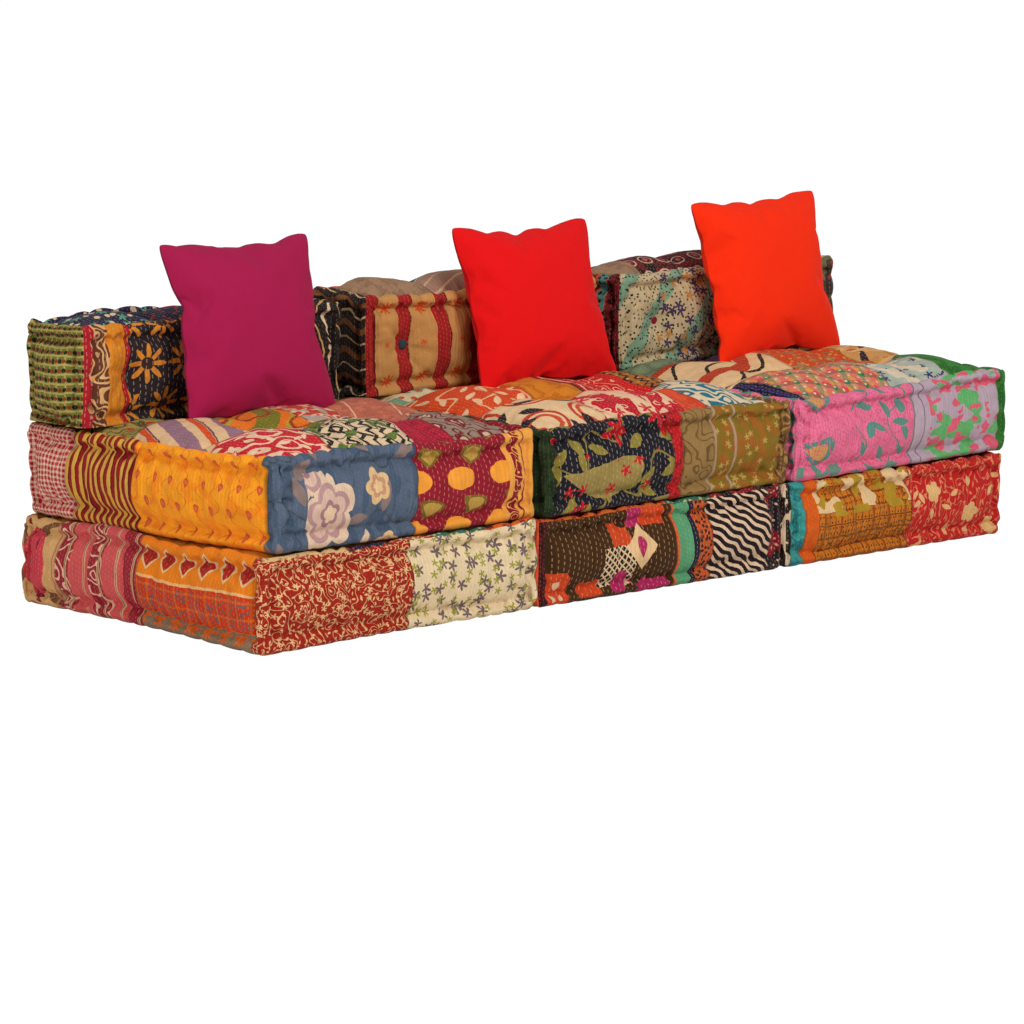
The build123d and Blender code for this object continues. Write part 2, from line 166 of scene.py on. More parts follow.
M = Motif
CLOTHS: dict[str, Cloth] = {
    # Plain and nearly plain cloths
    "magenta_plain": Cloth((160, 24, 70), rows=0.0, rough=0.95, fade=0.08),
    "red_plain": Cloth((226, 16, 18), rows=0.0, rough=0.95, fade=0.08),
    "orange_plain": Cloth((250, 46, 10), rows=0.0, rough=0.95, fade=0.08),
    "underside": Cloth((58, 48, 44), rows=0.0),
    "cotton": Cloth((226, 219, 202), rows=0.0),
    "green_plain": mottled((58, 140, 62), (44, 116, 54), (150, 200, 130), 0.03, 0.5),
    "dark_green": mottled((40, 62, 36), (28, 44, 28), (110, 130, 80), 0.03, 0.5),
    "maroon_dark": mottled((84, 26, 34), (54, 20, 28), (180, 150, 140), 0.03, 0.5),
    "crimson": mottled((176, 32, 66), (150, 26, 60), (230, 140, 150), 0.02, 0.4),
    "dusty_rose": Cloth((182, 108, 98), (
        Print(M.BLOTCH, (196, 128, 110), 0.02, 0.4),
        Print(M.STRIPE, (222, 196, 168), 0.09, 0.05, turn=20),
    ), (226, 170, 150)),
    "mustard": mottled((214, 142, 42), (196, 120, 34), (238, 190, 100)),
    "coral": mottled((222, 92, 62), (206, 74, 52), (240, 160, 120), 0.02, 0.4),
    "sage": mottled((126, 156, 134), (104, 136, 118), (190, 204, 180)),
    # The left base
    "rose_oval": Cloth((214, 184, 134), (
        Print(M.RING, (120, 84, 60), 0.2, 0.42, seed=-0.2),
        Print(M.CURL, (196, 150, 110), 0.07, 0.06),
        Print(M.DOT, (204, 66, 92), 0.105, 0.37, stretch=1.75, band=(0.0, 0.105)),
        Print(M.LEAF, (130, 24, 48), 0.03, 0.4, band=(0.028, 0.072)),
        Print(M.FLOOD, (186, 130, 110), band=(0.118, 0.122)),
    )),
    "vine_bands": Cloth((210, 92, 106), (
        Print(M.STRIPE, (156, 34, 60), 0.1, 0.42),
        Print(M.CURL, (236, 206, 196), 0.055, 0.3, band=(0.0, 0.045)),
        Print(M.CURL, (236, 206, 196), 0.055, 0.3, band=(0.1, 0.145)),
        Print(M.STRIPE, (216, 194, 160), 0.05, 0.12, seed=0.4),
        Print(M.STRIPE, (104, 98, 100), 0.05, 0.04, seed=0.37),
    )),
    "bunting": Cloth((234, 140, 24), (
        *stacked(M.DIAMOND, 0.058, ((226, 208, 168), 0.44), ((172, 40, 36), 0.34), seed=0.1,
            band=(0.115, 0.175), level=True),
        Print(M.FLOOD, (206, 62, 30), band=(0.035, 0.105), level=True),
        Print(M.CURL, (120, 96, 110), 0.04, 0.3, band=(0.042, 0.098), level=True),
        Print(M.CHECK, (226, 120, 30), 0.03, 0.16, band=(0.035, 0.105), level=True),
        Print(M.FLOOD, (236, 204, 150), band=(0.104, 0.109), level=True),
        Print(M.FLOOD, (138, 128, 116), band=(-0.1, 0.034), level=True),
        Print(M.FLOWER, (224, 110, 30), 0.05, 0.42, seed=0.5, band=(-0.02, 0.03), level=True),
    ), (240, 200, 140)),
    "brick_vine": Cloth((158, 38, 26), (
        Print(M.CURL, (228, 200, 158), 0.042, 0.12),
        Print(M.LEAF, (228, 200, 158), 0.0125, 0.36, seed=3),
        Print(M.SCATTER, (232, 206, 166), 0.032, 0.2, seed=7),
    ), (214, 150, 120), show=0.2),
    "sprig_cream": Cloth((230, 228, 208), (
        Print(M.SCATTER, (112, 104, 118), 0.035, 0.36, seed=2),
        Print(M.SCATTER, (152, 164, 62), 0.029, 0.28, seed=9),
    ), (206, 200, 176), show=0.25),
    "rim_cream": Cloth((222, 200, 158), (Print(M.SPECK, (180, 150, 110), 0.02, 0.2),)),
    "rim_orange": Cloth((214, 104, 36), (Print(M.SPECK, (150, 50, 30), 0.02, 0.3),)),
    "rim_navy": Cloth((34, 38, 78), (Print(M.SPECK, (180, 60, 50), 0.02, 0.2),)),
    "rim_teal": Cloth((42, 122, 108), (Print(M.SPECK, (200, 200, 150), 0.02, 0.2),)),
    # The left seat
    "red_check": Cloth((176, 26, 52), (
        Print(M.CHECK, (236, 220, 216), 0.0105, 0.42),
    ), (236, 220, 216), show=0.2),
    "maroon_stripes": Cloth((150, 30, 38), (
        Print(M.STRIPE, (214, 184, 84), 0.0185, 0.44),
        Print(M.STRIPE, (70, 22, 26), 0.0185, 0.1, seed=0.5),
    ), (210, 120, 90), show=0.2),
    "saffron_sprig": Cloth((255, 178, 40), (
        Print(M.BLOTCH, (250, 158, 34), 0.03, 0.4),
        *stacked(M.PAISLEY, 0.046, ((206, 96, 56), 0.2), ((224, 118, 84), 0.1)),
        Print(M.VINE, (206, 104, 40), 0.046, 0.03, seed=0.25),
    ), (250, 190, 90)),
    "blue_blooms": Cloth((86, 110, 150), (
        Print(M.BLOTCH, (70, 96, 136), 0.02, 0.4, stretch=4),
        Print(M.VINE, (66, 84, 96), 0.12, 0.03, turn=70),
        Print(M.LEAF, (140, 130, 140), 0.09, 0.34, seed=7),
        *stacked(M.BLOOM, 0.17, ((226, 216, 208), 0.47), ((186, 160, 178), 0.36), ((220, 204, 206), 0.29),
            ((168, 136, 160), 0.17), ((232, 220, 204), 0.11), seed=1.3, band=(0.07, 0.25, -0.03, 0.145),
            move=(-0.1, -0.035)),
        *stacked(M.BLOOM, 0.13, ((224, 204, 166), 0.26), ((196, 162, 138), 0.17), ((232, 214, 180), 0.1),
            seed=5.2, band=(0.22, 0.4, -0.05, 0.25), move=(0.1, 0.02)),
    ), (150, 176, 206), show=0.2),
    "maroon_dots": Cloth((142, 28, 52), (
        Print(M.DOT, (240, 172, 64), 0.11, 0.32, stretch=0.65, seed=0.5, band=(0.083, 0.131), level=True,
            move=(0.0, 0.0712)),
        Print(M.DOT, (240, 172, 64), 0.11, 0.32, stretch=0.65, seed=0.5, band=(-0.05, 0.03), level=True,
            move=(0.0, -0.031)),
        *stacked(M.PAISLEY, 0.11, ((122, 108, 44), 0.42), ((186, 166, 84), 0.3), stretch=0.45, seed=0.12,
            band=(0.028, 0.074), level=True, move=(0.0, 0.0252)),
        *stacked(M.PAISLEY, 0.11, ((122, 108, 44), 0.42), ((186, 166, 84), 0.3), stretch=0.45, seed=0.12,
            band=(0.128, 0.19), level=True, move=(0.0, 0.1272)),
        Print(M.FLOOD, (236, 180, 84), band=(0.235, 0.4)),
        Print(M.FLOOD, (134, 26, 50), band=(0.249, 0.272)),
        Print(M.CURL, (236, 190, 100), 0.04, 0.25, band=(0.249, 0.272)),
        Print(M.FLOOD, (120, 40, 50), band=(0.281, 0.285)),
    ), (232, 170, 160), rows=0.0115, show=0.5),
    "lilac_stripe": Cloth((226, 206, 178), (
        Print(M.STRIPE, (150, 122, 160), 0.09, 0.36, turn=24),
        Print(M.STRIPE, (214, 84, 40), 0.09, 0.14, turn=24, seed=0.45),
        Print(M.STRIPE, (96, 70, 110), 0.09, 0.04, turn=24, seed=0.3),
    )),
    "olive_orange": Cloth((226, 124, 32), (
        Print(M.WAVE, (116, 124, 40), 0.11, 0.4, turn=30),
        Print(M.WAVE, (176, 170, 60), 0.11, 0.1, turn=30, seed=0.45),
        Print(M.RING, (150, 60, 30), 0.1, 0.3),
    )),
    "grey_red_leaf": Cloth((196, 60, 56), (
        Print(M.LEAF, (176, 176, 184), 0.06, 0.6, seed=3),
        Print(M.VINE, (228, 214, 196), 0.05, 0.14, turn=20),
        Print(M.LEAF, (226, 206, 190), 0.04, 0.3, seed=8),
    )),
    "red_white_leaf": Cloth((200, 36, 60), (
        Print(M.CURL, (238, 216, 206), 0.1, 0.3),
        Print(M.LEAF, (240, 224, 210), 0.035, 0.4),
    )),
    "black_white_leaf": Cloth((226, 218, 200), (
        Print(M.ZIGZAG, (34, 32, 34), 0.03, 0.34, turn=12),
        Print(M.LEAF, (92, 130, 60), 0.055, 0.42, seed=6),
        Print(M.CURL, (40, 36, 38), 0.07, 0.2),
    )),
    "grey_maroon_leaf": Cloth((150, 140, 138), (
        *stacked(M.PAISLEY, 0.06, ((122, 30, 48), 0.42), ((208, 200, 188), 0.25)),
        Print(M.CURL, (104, 32, 48), 0.06, 0.24),
    )),
    "green_print": Cloth((150, 150, 84), (
        Print(M.CURL, (92, 84, 48), 0.06, 0.36),
        Print(M.LEAF, (176, 60, 48), 0.05, 0.3),
    )),
    # The left back
    "green_net": Cloth((112, 124, 60), (
        Print(M.NET, (176, 176, 110), 0.0165, 0.2),
        Print(M.DOT, (26, 34, 24), 0.0165, 0.24),
        Print(M.DOT, (136, 56, 34), 0.0165, 0.22, seed=0.5),
    ), (150, 160, 100), show=0.2),
    "figured_bands": Cloth((44, 38, 48), (
        Print(M.FLOWER, (214, 146, 48), 0.085, 0.46, seed=0.15),
        Print(M.DOT, (60, 42, 44), 0.085, 0.14, seed=0.15),
        Print(M.FLOOD, (168, 30, 48), band=(-0.1, 0.026)),
        Print(M.FLOOD, (226, 196, 150), band=(0.026, 0.03)),
        Print(M.FLOOD, (104, 66, 50), band=(0.03, 0.062)),
        Print(M.CURL, (224, 190, 140), 0.05, 0.4, band=(0.03, 0.062)),
        Print(M.FLOOD, (216, 146, 38), band=(0.062, 0.105)),
        Print(M.FLOOD, (170, 34, 48), band=(0.105, 0.116)),
    ), (206, 200, 190), rows=0.0115, show=0.45),
    "black_lines": Cloth((34, 30, 32), (
        Print(M.WAVE, (232, 222, 206), 0.07, 0.09),
        Print(M.WAVE, (206, 176, 120), 0.07, 0.06, seed=0.4),
    ), (170, 160, 150)),
    "navy_teal": Cloth((38, 40, 78), (
        Print(M.SCATTER, (90, 170, 160), 0.04, 0.3),
        Print(M.SPECK, (220, 214, 200), 0.03, 0.2),
        Print(M.FLOOD, (206, 72, 40), band=(-0.05, 0.018), level=True),
    )),
    # The middle base
    "olive_night": Cloth((66, 44, 20), (
        Print(M.BLOTCH, (206, 76, 36), 0.05, 1.0, seed=8, band=(0.168, 0.228, 0.1, 0.155)),
        Print(M.DOT, (60, 36, 24), 0.06, 0.2, band=(0.168, 0.228, 0.1, 0.155)),
        Print(M.BLOTCH, (176, 40, 116), 0.05, 1.0, seed=3, band=(0.222, 0.27, 0.138, 0.2)),
        Print(M.BLOTCH, (206, 76, 36), 0.05, 1.0, seed=5, band=(0.27, 0.33, 0.14, 0.2)),
        Print(M.BLOTCH, (176, 40, 116), 0.05, 1.0, seed=1, band=(0.25, 0.34, -0.03, 0.03)),
        Print(M.BLOTCH, (206, 76, 36), 0.05, 1.0, seed=5, band=(0.09, 0.15, 0.005, 0.04)),
        Print(M.BLOTCH, (206, 76, 36), 0.05, 0.9, seed=7, band=(0.0, 0.06, -0.03, 0.07)),
        Print(M.DOT, (226, 206, 186), 0.03, 0.32, band=(0.015, 0.045, 0.0, 0.05)),
        Print(M.FLOOD, (30, 28, 30), band=(0.142, 0.238, 0.024, 0.105)),
        Print(M.NET, (226, 214, 190), 0.0115, 0.3, turn=38, band=(0.142, 0.238, 0.024, 0.105)),
        Print(M.DOT, (176, 40, 116), 0.06, 0.42, seed=0.2, band=(0.178, 0.236, -0.01, 0.06)),
        Print(M.DIAMOND, (230, 212, 176), 0.15, 0.3, band=(0.2, 0.31, 0.04, 0.16), move=(0.181, 0.023)),
        Print(M.PAISLEY, (178, 44, 116), 0.15, 0.14, band=(0.2, 0.31, 0.04, 0.16), move=(0.181, 0.023)),
    ), (226, 206, 170), rows=0.0115, show=0.4),
    "sea_waves": Cloth((88, 172, 140), (
        Print(M.FLOOD, (34, 38, 64), band=(0.048, 0.062)),
        Print(M.FLOOD, (196, 92, 40), band=(0.062, 0.4)),
        Print(M.SPECK, (60, 34, 40), 0.011, 0.34, band=(0.062, 0.4)),
        Print(M.FLOOD, (214, 100, 44), band=(-0.1, 0.008)),
    ), (210, 224, 190)),
    "zebra": Cloth((226, 214, 202), (
        Print(M.WAVE, (28, 24, 30), 0.016, 0.56, turn=-56, stretch=1.6),
    ), (150, 60, 60), show=0.2),
    "red_black": Cloth((136, 24, 44), (
        Print(M.BLOTCH, (34, 32, 44), 0.06, 0.5),
        Print(M.SPECK, (220, 200, 190), 0.022, 0.12),
    ), show=0.4),
    # The middle seat
    "night_vine": Cloth((28, 30, 44), (
        Print(M.LEAF, (142, 140, 66), 0.06, 0.44, seed=2),
        Print(M.VINE, (136, 132, 70), 0.13, 0.05, turn=62),
        Print(M.SCATTER, (190, 26, 40), 0.1, 0.34, seed=6.5, band=(0.11, 0.3), level=True),
        Print(M.PAISLEY, (156, 148, 88), 0.145, 0.42, turn=90, stretch=1.8, seed=0.914, band=(-0.05, 0.125),
            level=True),
        Print(M.PAISLEY, (128, 116, 66), 0.145, 0.05, turn=90, stretch=5.0, seed=0.914, band=(-0.05, 0.125),
            level=True),
        Print(M.SCATTER, (196, 30, 44), 0.06, 0.24, seed=3.4, band=(0.0, 0.1), level=True),
    ), (226, 226, 232), rows=0.0115, show=0.36),
    "red_strip": Cloth((190, 28, 38), (Print(M.SPECK, (140, 20, 34), 0.02, 0.3),), (228, 150, 140)),
    "olive_brocade": Cloth((134, 116, 40), (
        Print(M.BLOTCH, (158, 106, 42), 0.028, 0.5),
        Print(M.SCATTER, (190, 176, 108), 0.03, 0.24, seed=3),
        Print(M.FLOOD, (150, 130, 86), band=(-0.1, 0.085)),
        Print(M.CURL, (112, 92, 56), 0.06, 0.26, band=(-0.1, 0.085)),
        Print(M.FLOOD, (172, 160, 150), band=(0.085, 0.091)),
        Print(M.FLOOD, (172, 160, 150), band=(0.142, 0.148)),
    ), (190, 170, 90), show=0.15),
    "brown_roll": Cloth((112, 86, 52), (Print(M.CURL, (168, 140, 84), 0.05, 0.4),)),
    "teal_white": Cloth((122, 178, 160), (
        Print(M.BLOTCH, (226, 226, 206), 0.06, 0.5),
        Print(M.SPECK, (208, 96, 70), 0.05, 0.12),
    )),
    "orange_leaf": Cloth((218, 78, 34), (
        Print(M.LEAF, (238, 216, 190), 0.055, 0.34, seed=4),
        Print(M.VINE, (238, 206, 176), 0.08, 0.1, turn=40),
    )),
    "red_border": Cloth((206, 28, 34), (
        Print(M.CURL, (236, 200, 190), 0.05, 0.2, band=(0.06, 0.16)),
        Print(M.STRIPE, (236, 226, 210), 0.016, 0.4, band=(-0.05, 0.05)),
        Print(M.STRIPE, (30, 26, 30), 0.032, 0.22, band=(-0.05, 0.05)),
        Print(M.STRIPE, (236, 226, 210), 0.02, 0.3, band=(0.18, 0.3)),
    )),
    "cream_black_leaf": Cloth((234, 218, 188), (
        *stacked(M.RING, 0.13, ((196, 62, 50), 0.36), ((206, 80, 60), 0.24)),
        Print(M.LEAF, (36, 34, 48), 0.07, 0.4, seed=1.5),
    )),
    "crimson_flowers": Cloth((196, 26, 56), (
        Print(M.BLOTCH, (238, 214, 196), 0.06, 0.5, turn=20, stretch=2.0),
        Print(M.RING, (240, 220, 206), 0.045, 0.16, seed=0.3),
        Print(M.SCATTER, (206, 44, 70), 0.05, 0.34, seed=2.4),
    )),
    "tan_zigzag": Cloth((176, 116, 50), (
        Print(M.ZIGZAG, (44, 34, 28), 0.026, 0.34, turn=20),
        Print(M.DOT, (226, 190, 120), 0.026, 0.12, turn=20),
    )),
    "blue_batik": Cloth((232, 230, 214), (
        Print(M.CURL, (36, 126, 166), 0.07, 0.5),
    ), (150, 190, 200), show=0.2),
    # The middle back
    "black_brown": Cloth((40, 32, 32), (
        Print(M.WAVE, (128, 84, 52), 0.05, 0.24, turn=90),
        Print(M.WAVE, (206, 190, 160), 0.05, 0.07, turn=90, seed=0.4),
    ), (180, 160, 140)),
    "tan_flower_stripe": Cloth((200, 160, 104), (
        Print(M.FLOWER, (210, 84, 34), 0.097, 0.2, stretch=0.75, seed=-0.18),
        Print(M.FLOWER, (210, 84, 34), 0.097, 0.09, stretch=0.75, seed=-0.18, move=(0.0, 0.073)),
        Print(M.STRIPE, (166, 34, 42), 0.097, 0.36),
        Print(M.STRIPE, (96, 24, 36), 0.097, 0.03, seed=0.66),
    ), (216, 176, 130)),
    "taupe_teal": Cloth((166, 140, 132), (
        Print(M.STRIPE, (44, 96, 108), 0.14, 0.3, turn=70),
        Print(M.STRIPE, (210, 190, 170), 0.035, 0.14, turn=70),
    ), (206, 190, 180)),
    # The right base
    "turquoise": mottled((56, 164, 180), (36, 130, 150), (150, 214, 220)),
    "black_white": Cloth((36, 32, 34), (Print(M.BLOTCH, (226, 220, 206), 0.05, 0.5),)),
    "ochre_block": Cloth((200, 126, 34), (
        Print(M.DOT, (58, 48, 30), 0.0085, 0.2, stretch=1.4),
        Print(M.NET, (120, 70, 30), 0.017, 0.12, stretch=1.6),
        Print(M.CURL, (110, 84, 34), 0.045, 0.2, band=(0.03, 0.07), level=True),
        Print(M.STRIPE, (150, 84, 30), 0.05, 0.12),
        Print(M.BLOTCH, (228, 214, 180), 0.07, 0.45, band=(0.11, 0.3), level=True),
        Print(M.BLOTCH, (176, 154, 48), 0.06, 0.42, seed=4, band=(0.1, 0.3), level=True),
        Print(M.FLOOD, (216, 102, 32), band=(-0.1, 0.034)),
    ), (230, 180, 90)),
    "red_strokes": Cloth((192, 38, 40), (
        Print(M.LEAF, (220, 140, 112), 0.014, 0.36, turn=20, stretch=1.6, seed=2),
        Print(M.CURL, (222, 150, 124), 0.04, 0.09, turn=30, stretch=2.0),
        Print(M.BLOOM, (226, 200, 150), 0.12, 0.2, seed=5),
        Print(M.LEAF, (226, 196, 150), 0.06, 0.24, seed=12),
    ), (214, 90, 80), show=0.2),
    # The right seat
    "pink_fronds": Cloth((236, 128, 188), (
        *stacked(M.PAISLEY, 0.12, ((92, 158, 168), 0.4), ((214, 170, 110), 0.24), turn=90, band=(0.0, 0.12)),
        Print(M.CURL, (222, 108, 170), 0.06, 0.16),
        Print(M.LEAF, (92, 160, 164), 0.075, 0.46, turn=30, stretch=0.5, seed=4, band=(0.2, 0.36)),
        Print(M.VINE, (92, 150, 160), 0.12, 0.04, turn=8, band=(0.18, 0.36)),
        Print(M.BLOTCH, (104, 160, 160), 0.05, 0.36, seed=2, band=(-0.05, 0.03), level=True),
    ), (140, 50, 110), show=0.5),
    "lavender_blotch": Cloth((186, 182, 222), (
        Print(M.BLOTCH, (98, 196, 132), 0.07, 0.42, stretch=0.6, seed=2, band=(0.05, 0.6)),
        Print(M.BLOTCH, (222, 104, 146), 0.04, 0.36, stretch=0.7, seed=5, band=(0.05, 0.6)),
        Print(M.STRIPE, (110, 100, 128), 0.03, 0.08, band=(0.0, 0.06)),
    ), (196, 190, 206)),
    "cream_bands": Cloth((232, 214, 180), (
        Print(M.WAVE, (34, 30, 32), 0.075, 0.12, turn=62),
        Print(M.WAVE, (186, 66, 40), 0.15, 0.22, turn=62, seed=0.4),
    )),
    "orange_floral": Cloth((206, 78, 34), (
        Print(M.SCATTER, (156, 146, 110), 0.055, 0.3, seed=1),
        Print(M.RING, (140, 130, 90), 0.055, 0.2, seed=0.2),
        Print(M.SPECK, (228, 160, 80), 0.02, 0.2),
    )),
    "bright_check": Cloth((216, 170, 142), (
        Print(M.CHECK, (232, 62, 104), 0.045, 0.44, turn=30),
        Print(M.CHECK, (36, 138, 104), 0.045, 0.28, turn=30, seed=0.5),
        Print(M.DOT, (236, 168, 74), 0.045, 0.15, turn=30),
        Print(M.DOT, (240, 232, 216), 0.0225, 0.14, turn=30, seed=0.3),
    )),
    "sky_navy": Cloth((176, 206, 214), (
        Print(M.SCATTER, (40, 62, 130), 0.04, 0.3, seed=2),
        Print(M.BLOTCH, (226, 232, 228), 0.05, 0.4),
    )),
    "tan_navy": Cloth((206, 168, 110), (
        Print(M.WAVE, (44, 42, 56), 0.11, 0.13, turn=20),
        Print(M.BLOTCH, (226, 200, 146), 0.06, 0.4),
        Print(M.LEAF, (190, 110, 50), 0.05, 0.3),
    )),
    "navy_strip": Cloth((44, 44, 116), (Print(M.ZIGZAG, (26, 26, 46), 0.02, 0.4),)),
    "lilac": Cloth((128, 108, 172), (Print(M.SCATTER, (176, 160, 200), 0.03, 0.3),)),
    # The right back
    "maroon_teal": Cloth((118, 28, 42), (
        Print(M.STRIPE, (196, 84, 44), 0.12, 0.3),
        Print(M.FLOOD, (74, 150, 160), band=(0.13, 0.155)),
        Print(M.SPECK, (40, 20, 26), 0.014, 0.3),
    ), (200, 150, 130)),
    "sage_speck": Cloth((204, 204, 180), (
        Print(M.STRIPE, (134, 186, 174), 0.11, 0.3, turn=40, seed=0.1),
        Print(M.SPECK, (44, 44, 46), 0.011, 0.2),
        Print(M.SCATTER, (72, 62, 116), 0.035, 0.36, seed=4, band=(0.12, 0.4)),
        Print(M.SCATTER, (196, 150, 90), 0.05, 0.24, seed=8, band=(0.12, 0.4)),
    ), (150, 150, 130), show=0.25),
    "shadow_floral": Cloth((74, 66, 60), (
        Print(M.SCATTER, (60, 56, 104), 0.05, 0.4, seed=4),
        Print(M.SCATTER, (176, 66, 60), 0.06, 0.24, seed=9),
        Print(M.BLOTCH, (110, 120, 100), 0.06, 0.4),
    )),
    "beige_plain": mottled((164, 142, 124), (146, 124, 108), (150, 90, 80)),
    "dark_figure": Cloth((104, 26, 40), (
        Print(M.CURL, (30, 26, 30), 0.08, 0.4),
        Print(M.RING, (222, 196, 190), 0.05, 0.3),
        Print(M.DOT, (196, 90, 110), 0.05, 0.12),
    )),
    "tan_orange": Cloth((196, 158, 110), (
        Print(M.STRIPE, (202, 96, 44), 0.11, 0.34, turn=70),
        Print(M.STRIPE, (120, 60, 44), 0.11, 0.05, turn=70, seed=0.4),
    )),
    # Buttons
    "button_teal": Cloth((52, 64, 70), rows=0.0),
    "button_red": Cloth((132, 28, 40), rows=0.0),
    "button_olive": Cloth((104, 92, 48), rows=0.0),
}


class Tree:
    """A material's node tree, written one node at a time."""

    def __init__(self, material: bpy.types.Material) -> None:
        """Starts an empty tree.

        Args:
            material: the material to write.
        """
        material.use_nodes = True
        self.tree = material.node_tree
        self.tree.nodes.clear()

    def node(self, kind: str, inputs: Optional[dict[Any, Socket]] = None, **settings: Any) -> bpy.types.Node:
        """Adds a node.

        Args:
            kind: the node's type name.
            inputs: a value or a socket for each input, by name or number.
            settings: the node's own properties.

        Returns:
            The new node.
        """
        made = self.tree.nodes.new(kind)
        for name, value in settings.items():
            setattr(made, name, value)
        for name, value in (inputs or {}).items():
            if isinstance(value, bpy.types.NodeSocket):
                self.tree.links.new(value, made.inputs[name])
            else:
                made.inputs[name].default_value = value
        return made

    def math(self, operation: str, *values: Socket, clamp: bool = False) -> bpy.types.NodeSocket:
        """Adds a Math node over one to three values, kept from 0 to 1 if clamp is set, and gives its result."""
        made = self.node("ShaderNodeMath", dict(enumerate(values)), operation=operation, use_clamp=clamp)
        return made.outputs[0]

    def below(self, value: Socket, limit: Socket) -> bpy.types.NodeSocket:
        """1 where a value is less than a limit, and 0 elsewhere."""
        return self.math("LESS_THAN", value, limit)

    def mix(self, share: Socket, low: Socket, high: Socket) -> bpy.types.NodeSocket:
        """Mixes two colours: the low one where the share is 0, and the high one where it is 1."""
        return self.node("ShaderNodeMix", {0: share, 6: low, 7: high}, data_type="RGBA").outputs[2]

    def parts(self, vector: bpy.types.NodeSocket) -> tuple[bpy.types.NodeSocket, bpy.types.NodeSocket]:
        """Gives a vector's x and y."""
        split = self.node("ShaderNodeSeparateXYZ", {0: vector})
        return split.outputs[0], split.outputs[1]

    def turned(self, vector: bpy.types.NodeSocket, angle: Socket) -> tuple[bpy.types.NodeSocket, ...]:
        """Turns a vector by an angle about Z and gives its x and y."""
        made = self.node("ShaderNodeVectorRotate", {"Vector": vector, "Angle": angle}, rotation_type="Z_AXIS")
        return self.parts(made.outputs[0])

    def looked_at(self) -> bpy.types.NodeSocket:
        """1 where the camera, a gloss or a glass looks, from the Light Path, and 0 where light arrives."""
        rays = self.node("ShaderNodeLightPath").outputs
        direct = self.math("MAXIMUM", rays["Is Camera Ray"], rays["Is Glossy Ray"])
        return self.math("MAXIMUM", direct, rays["Is Transmission Ray"])


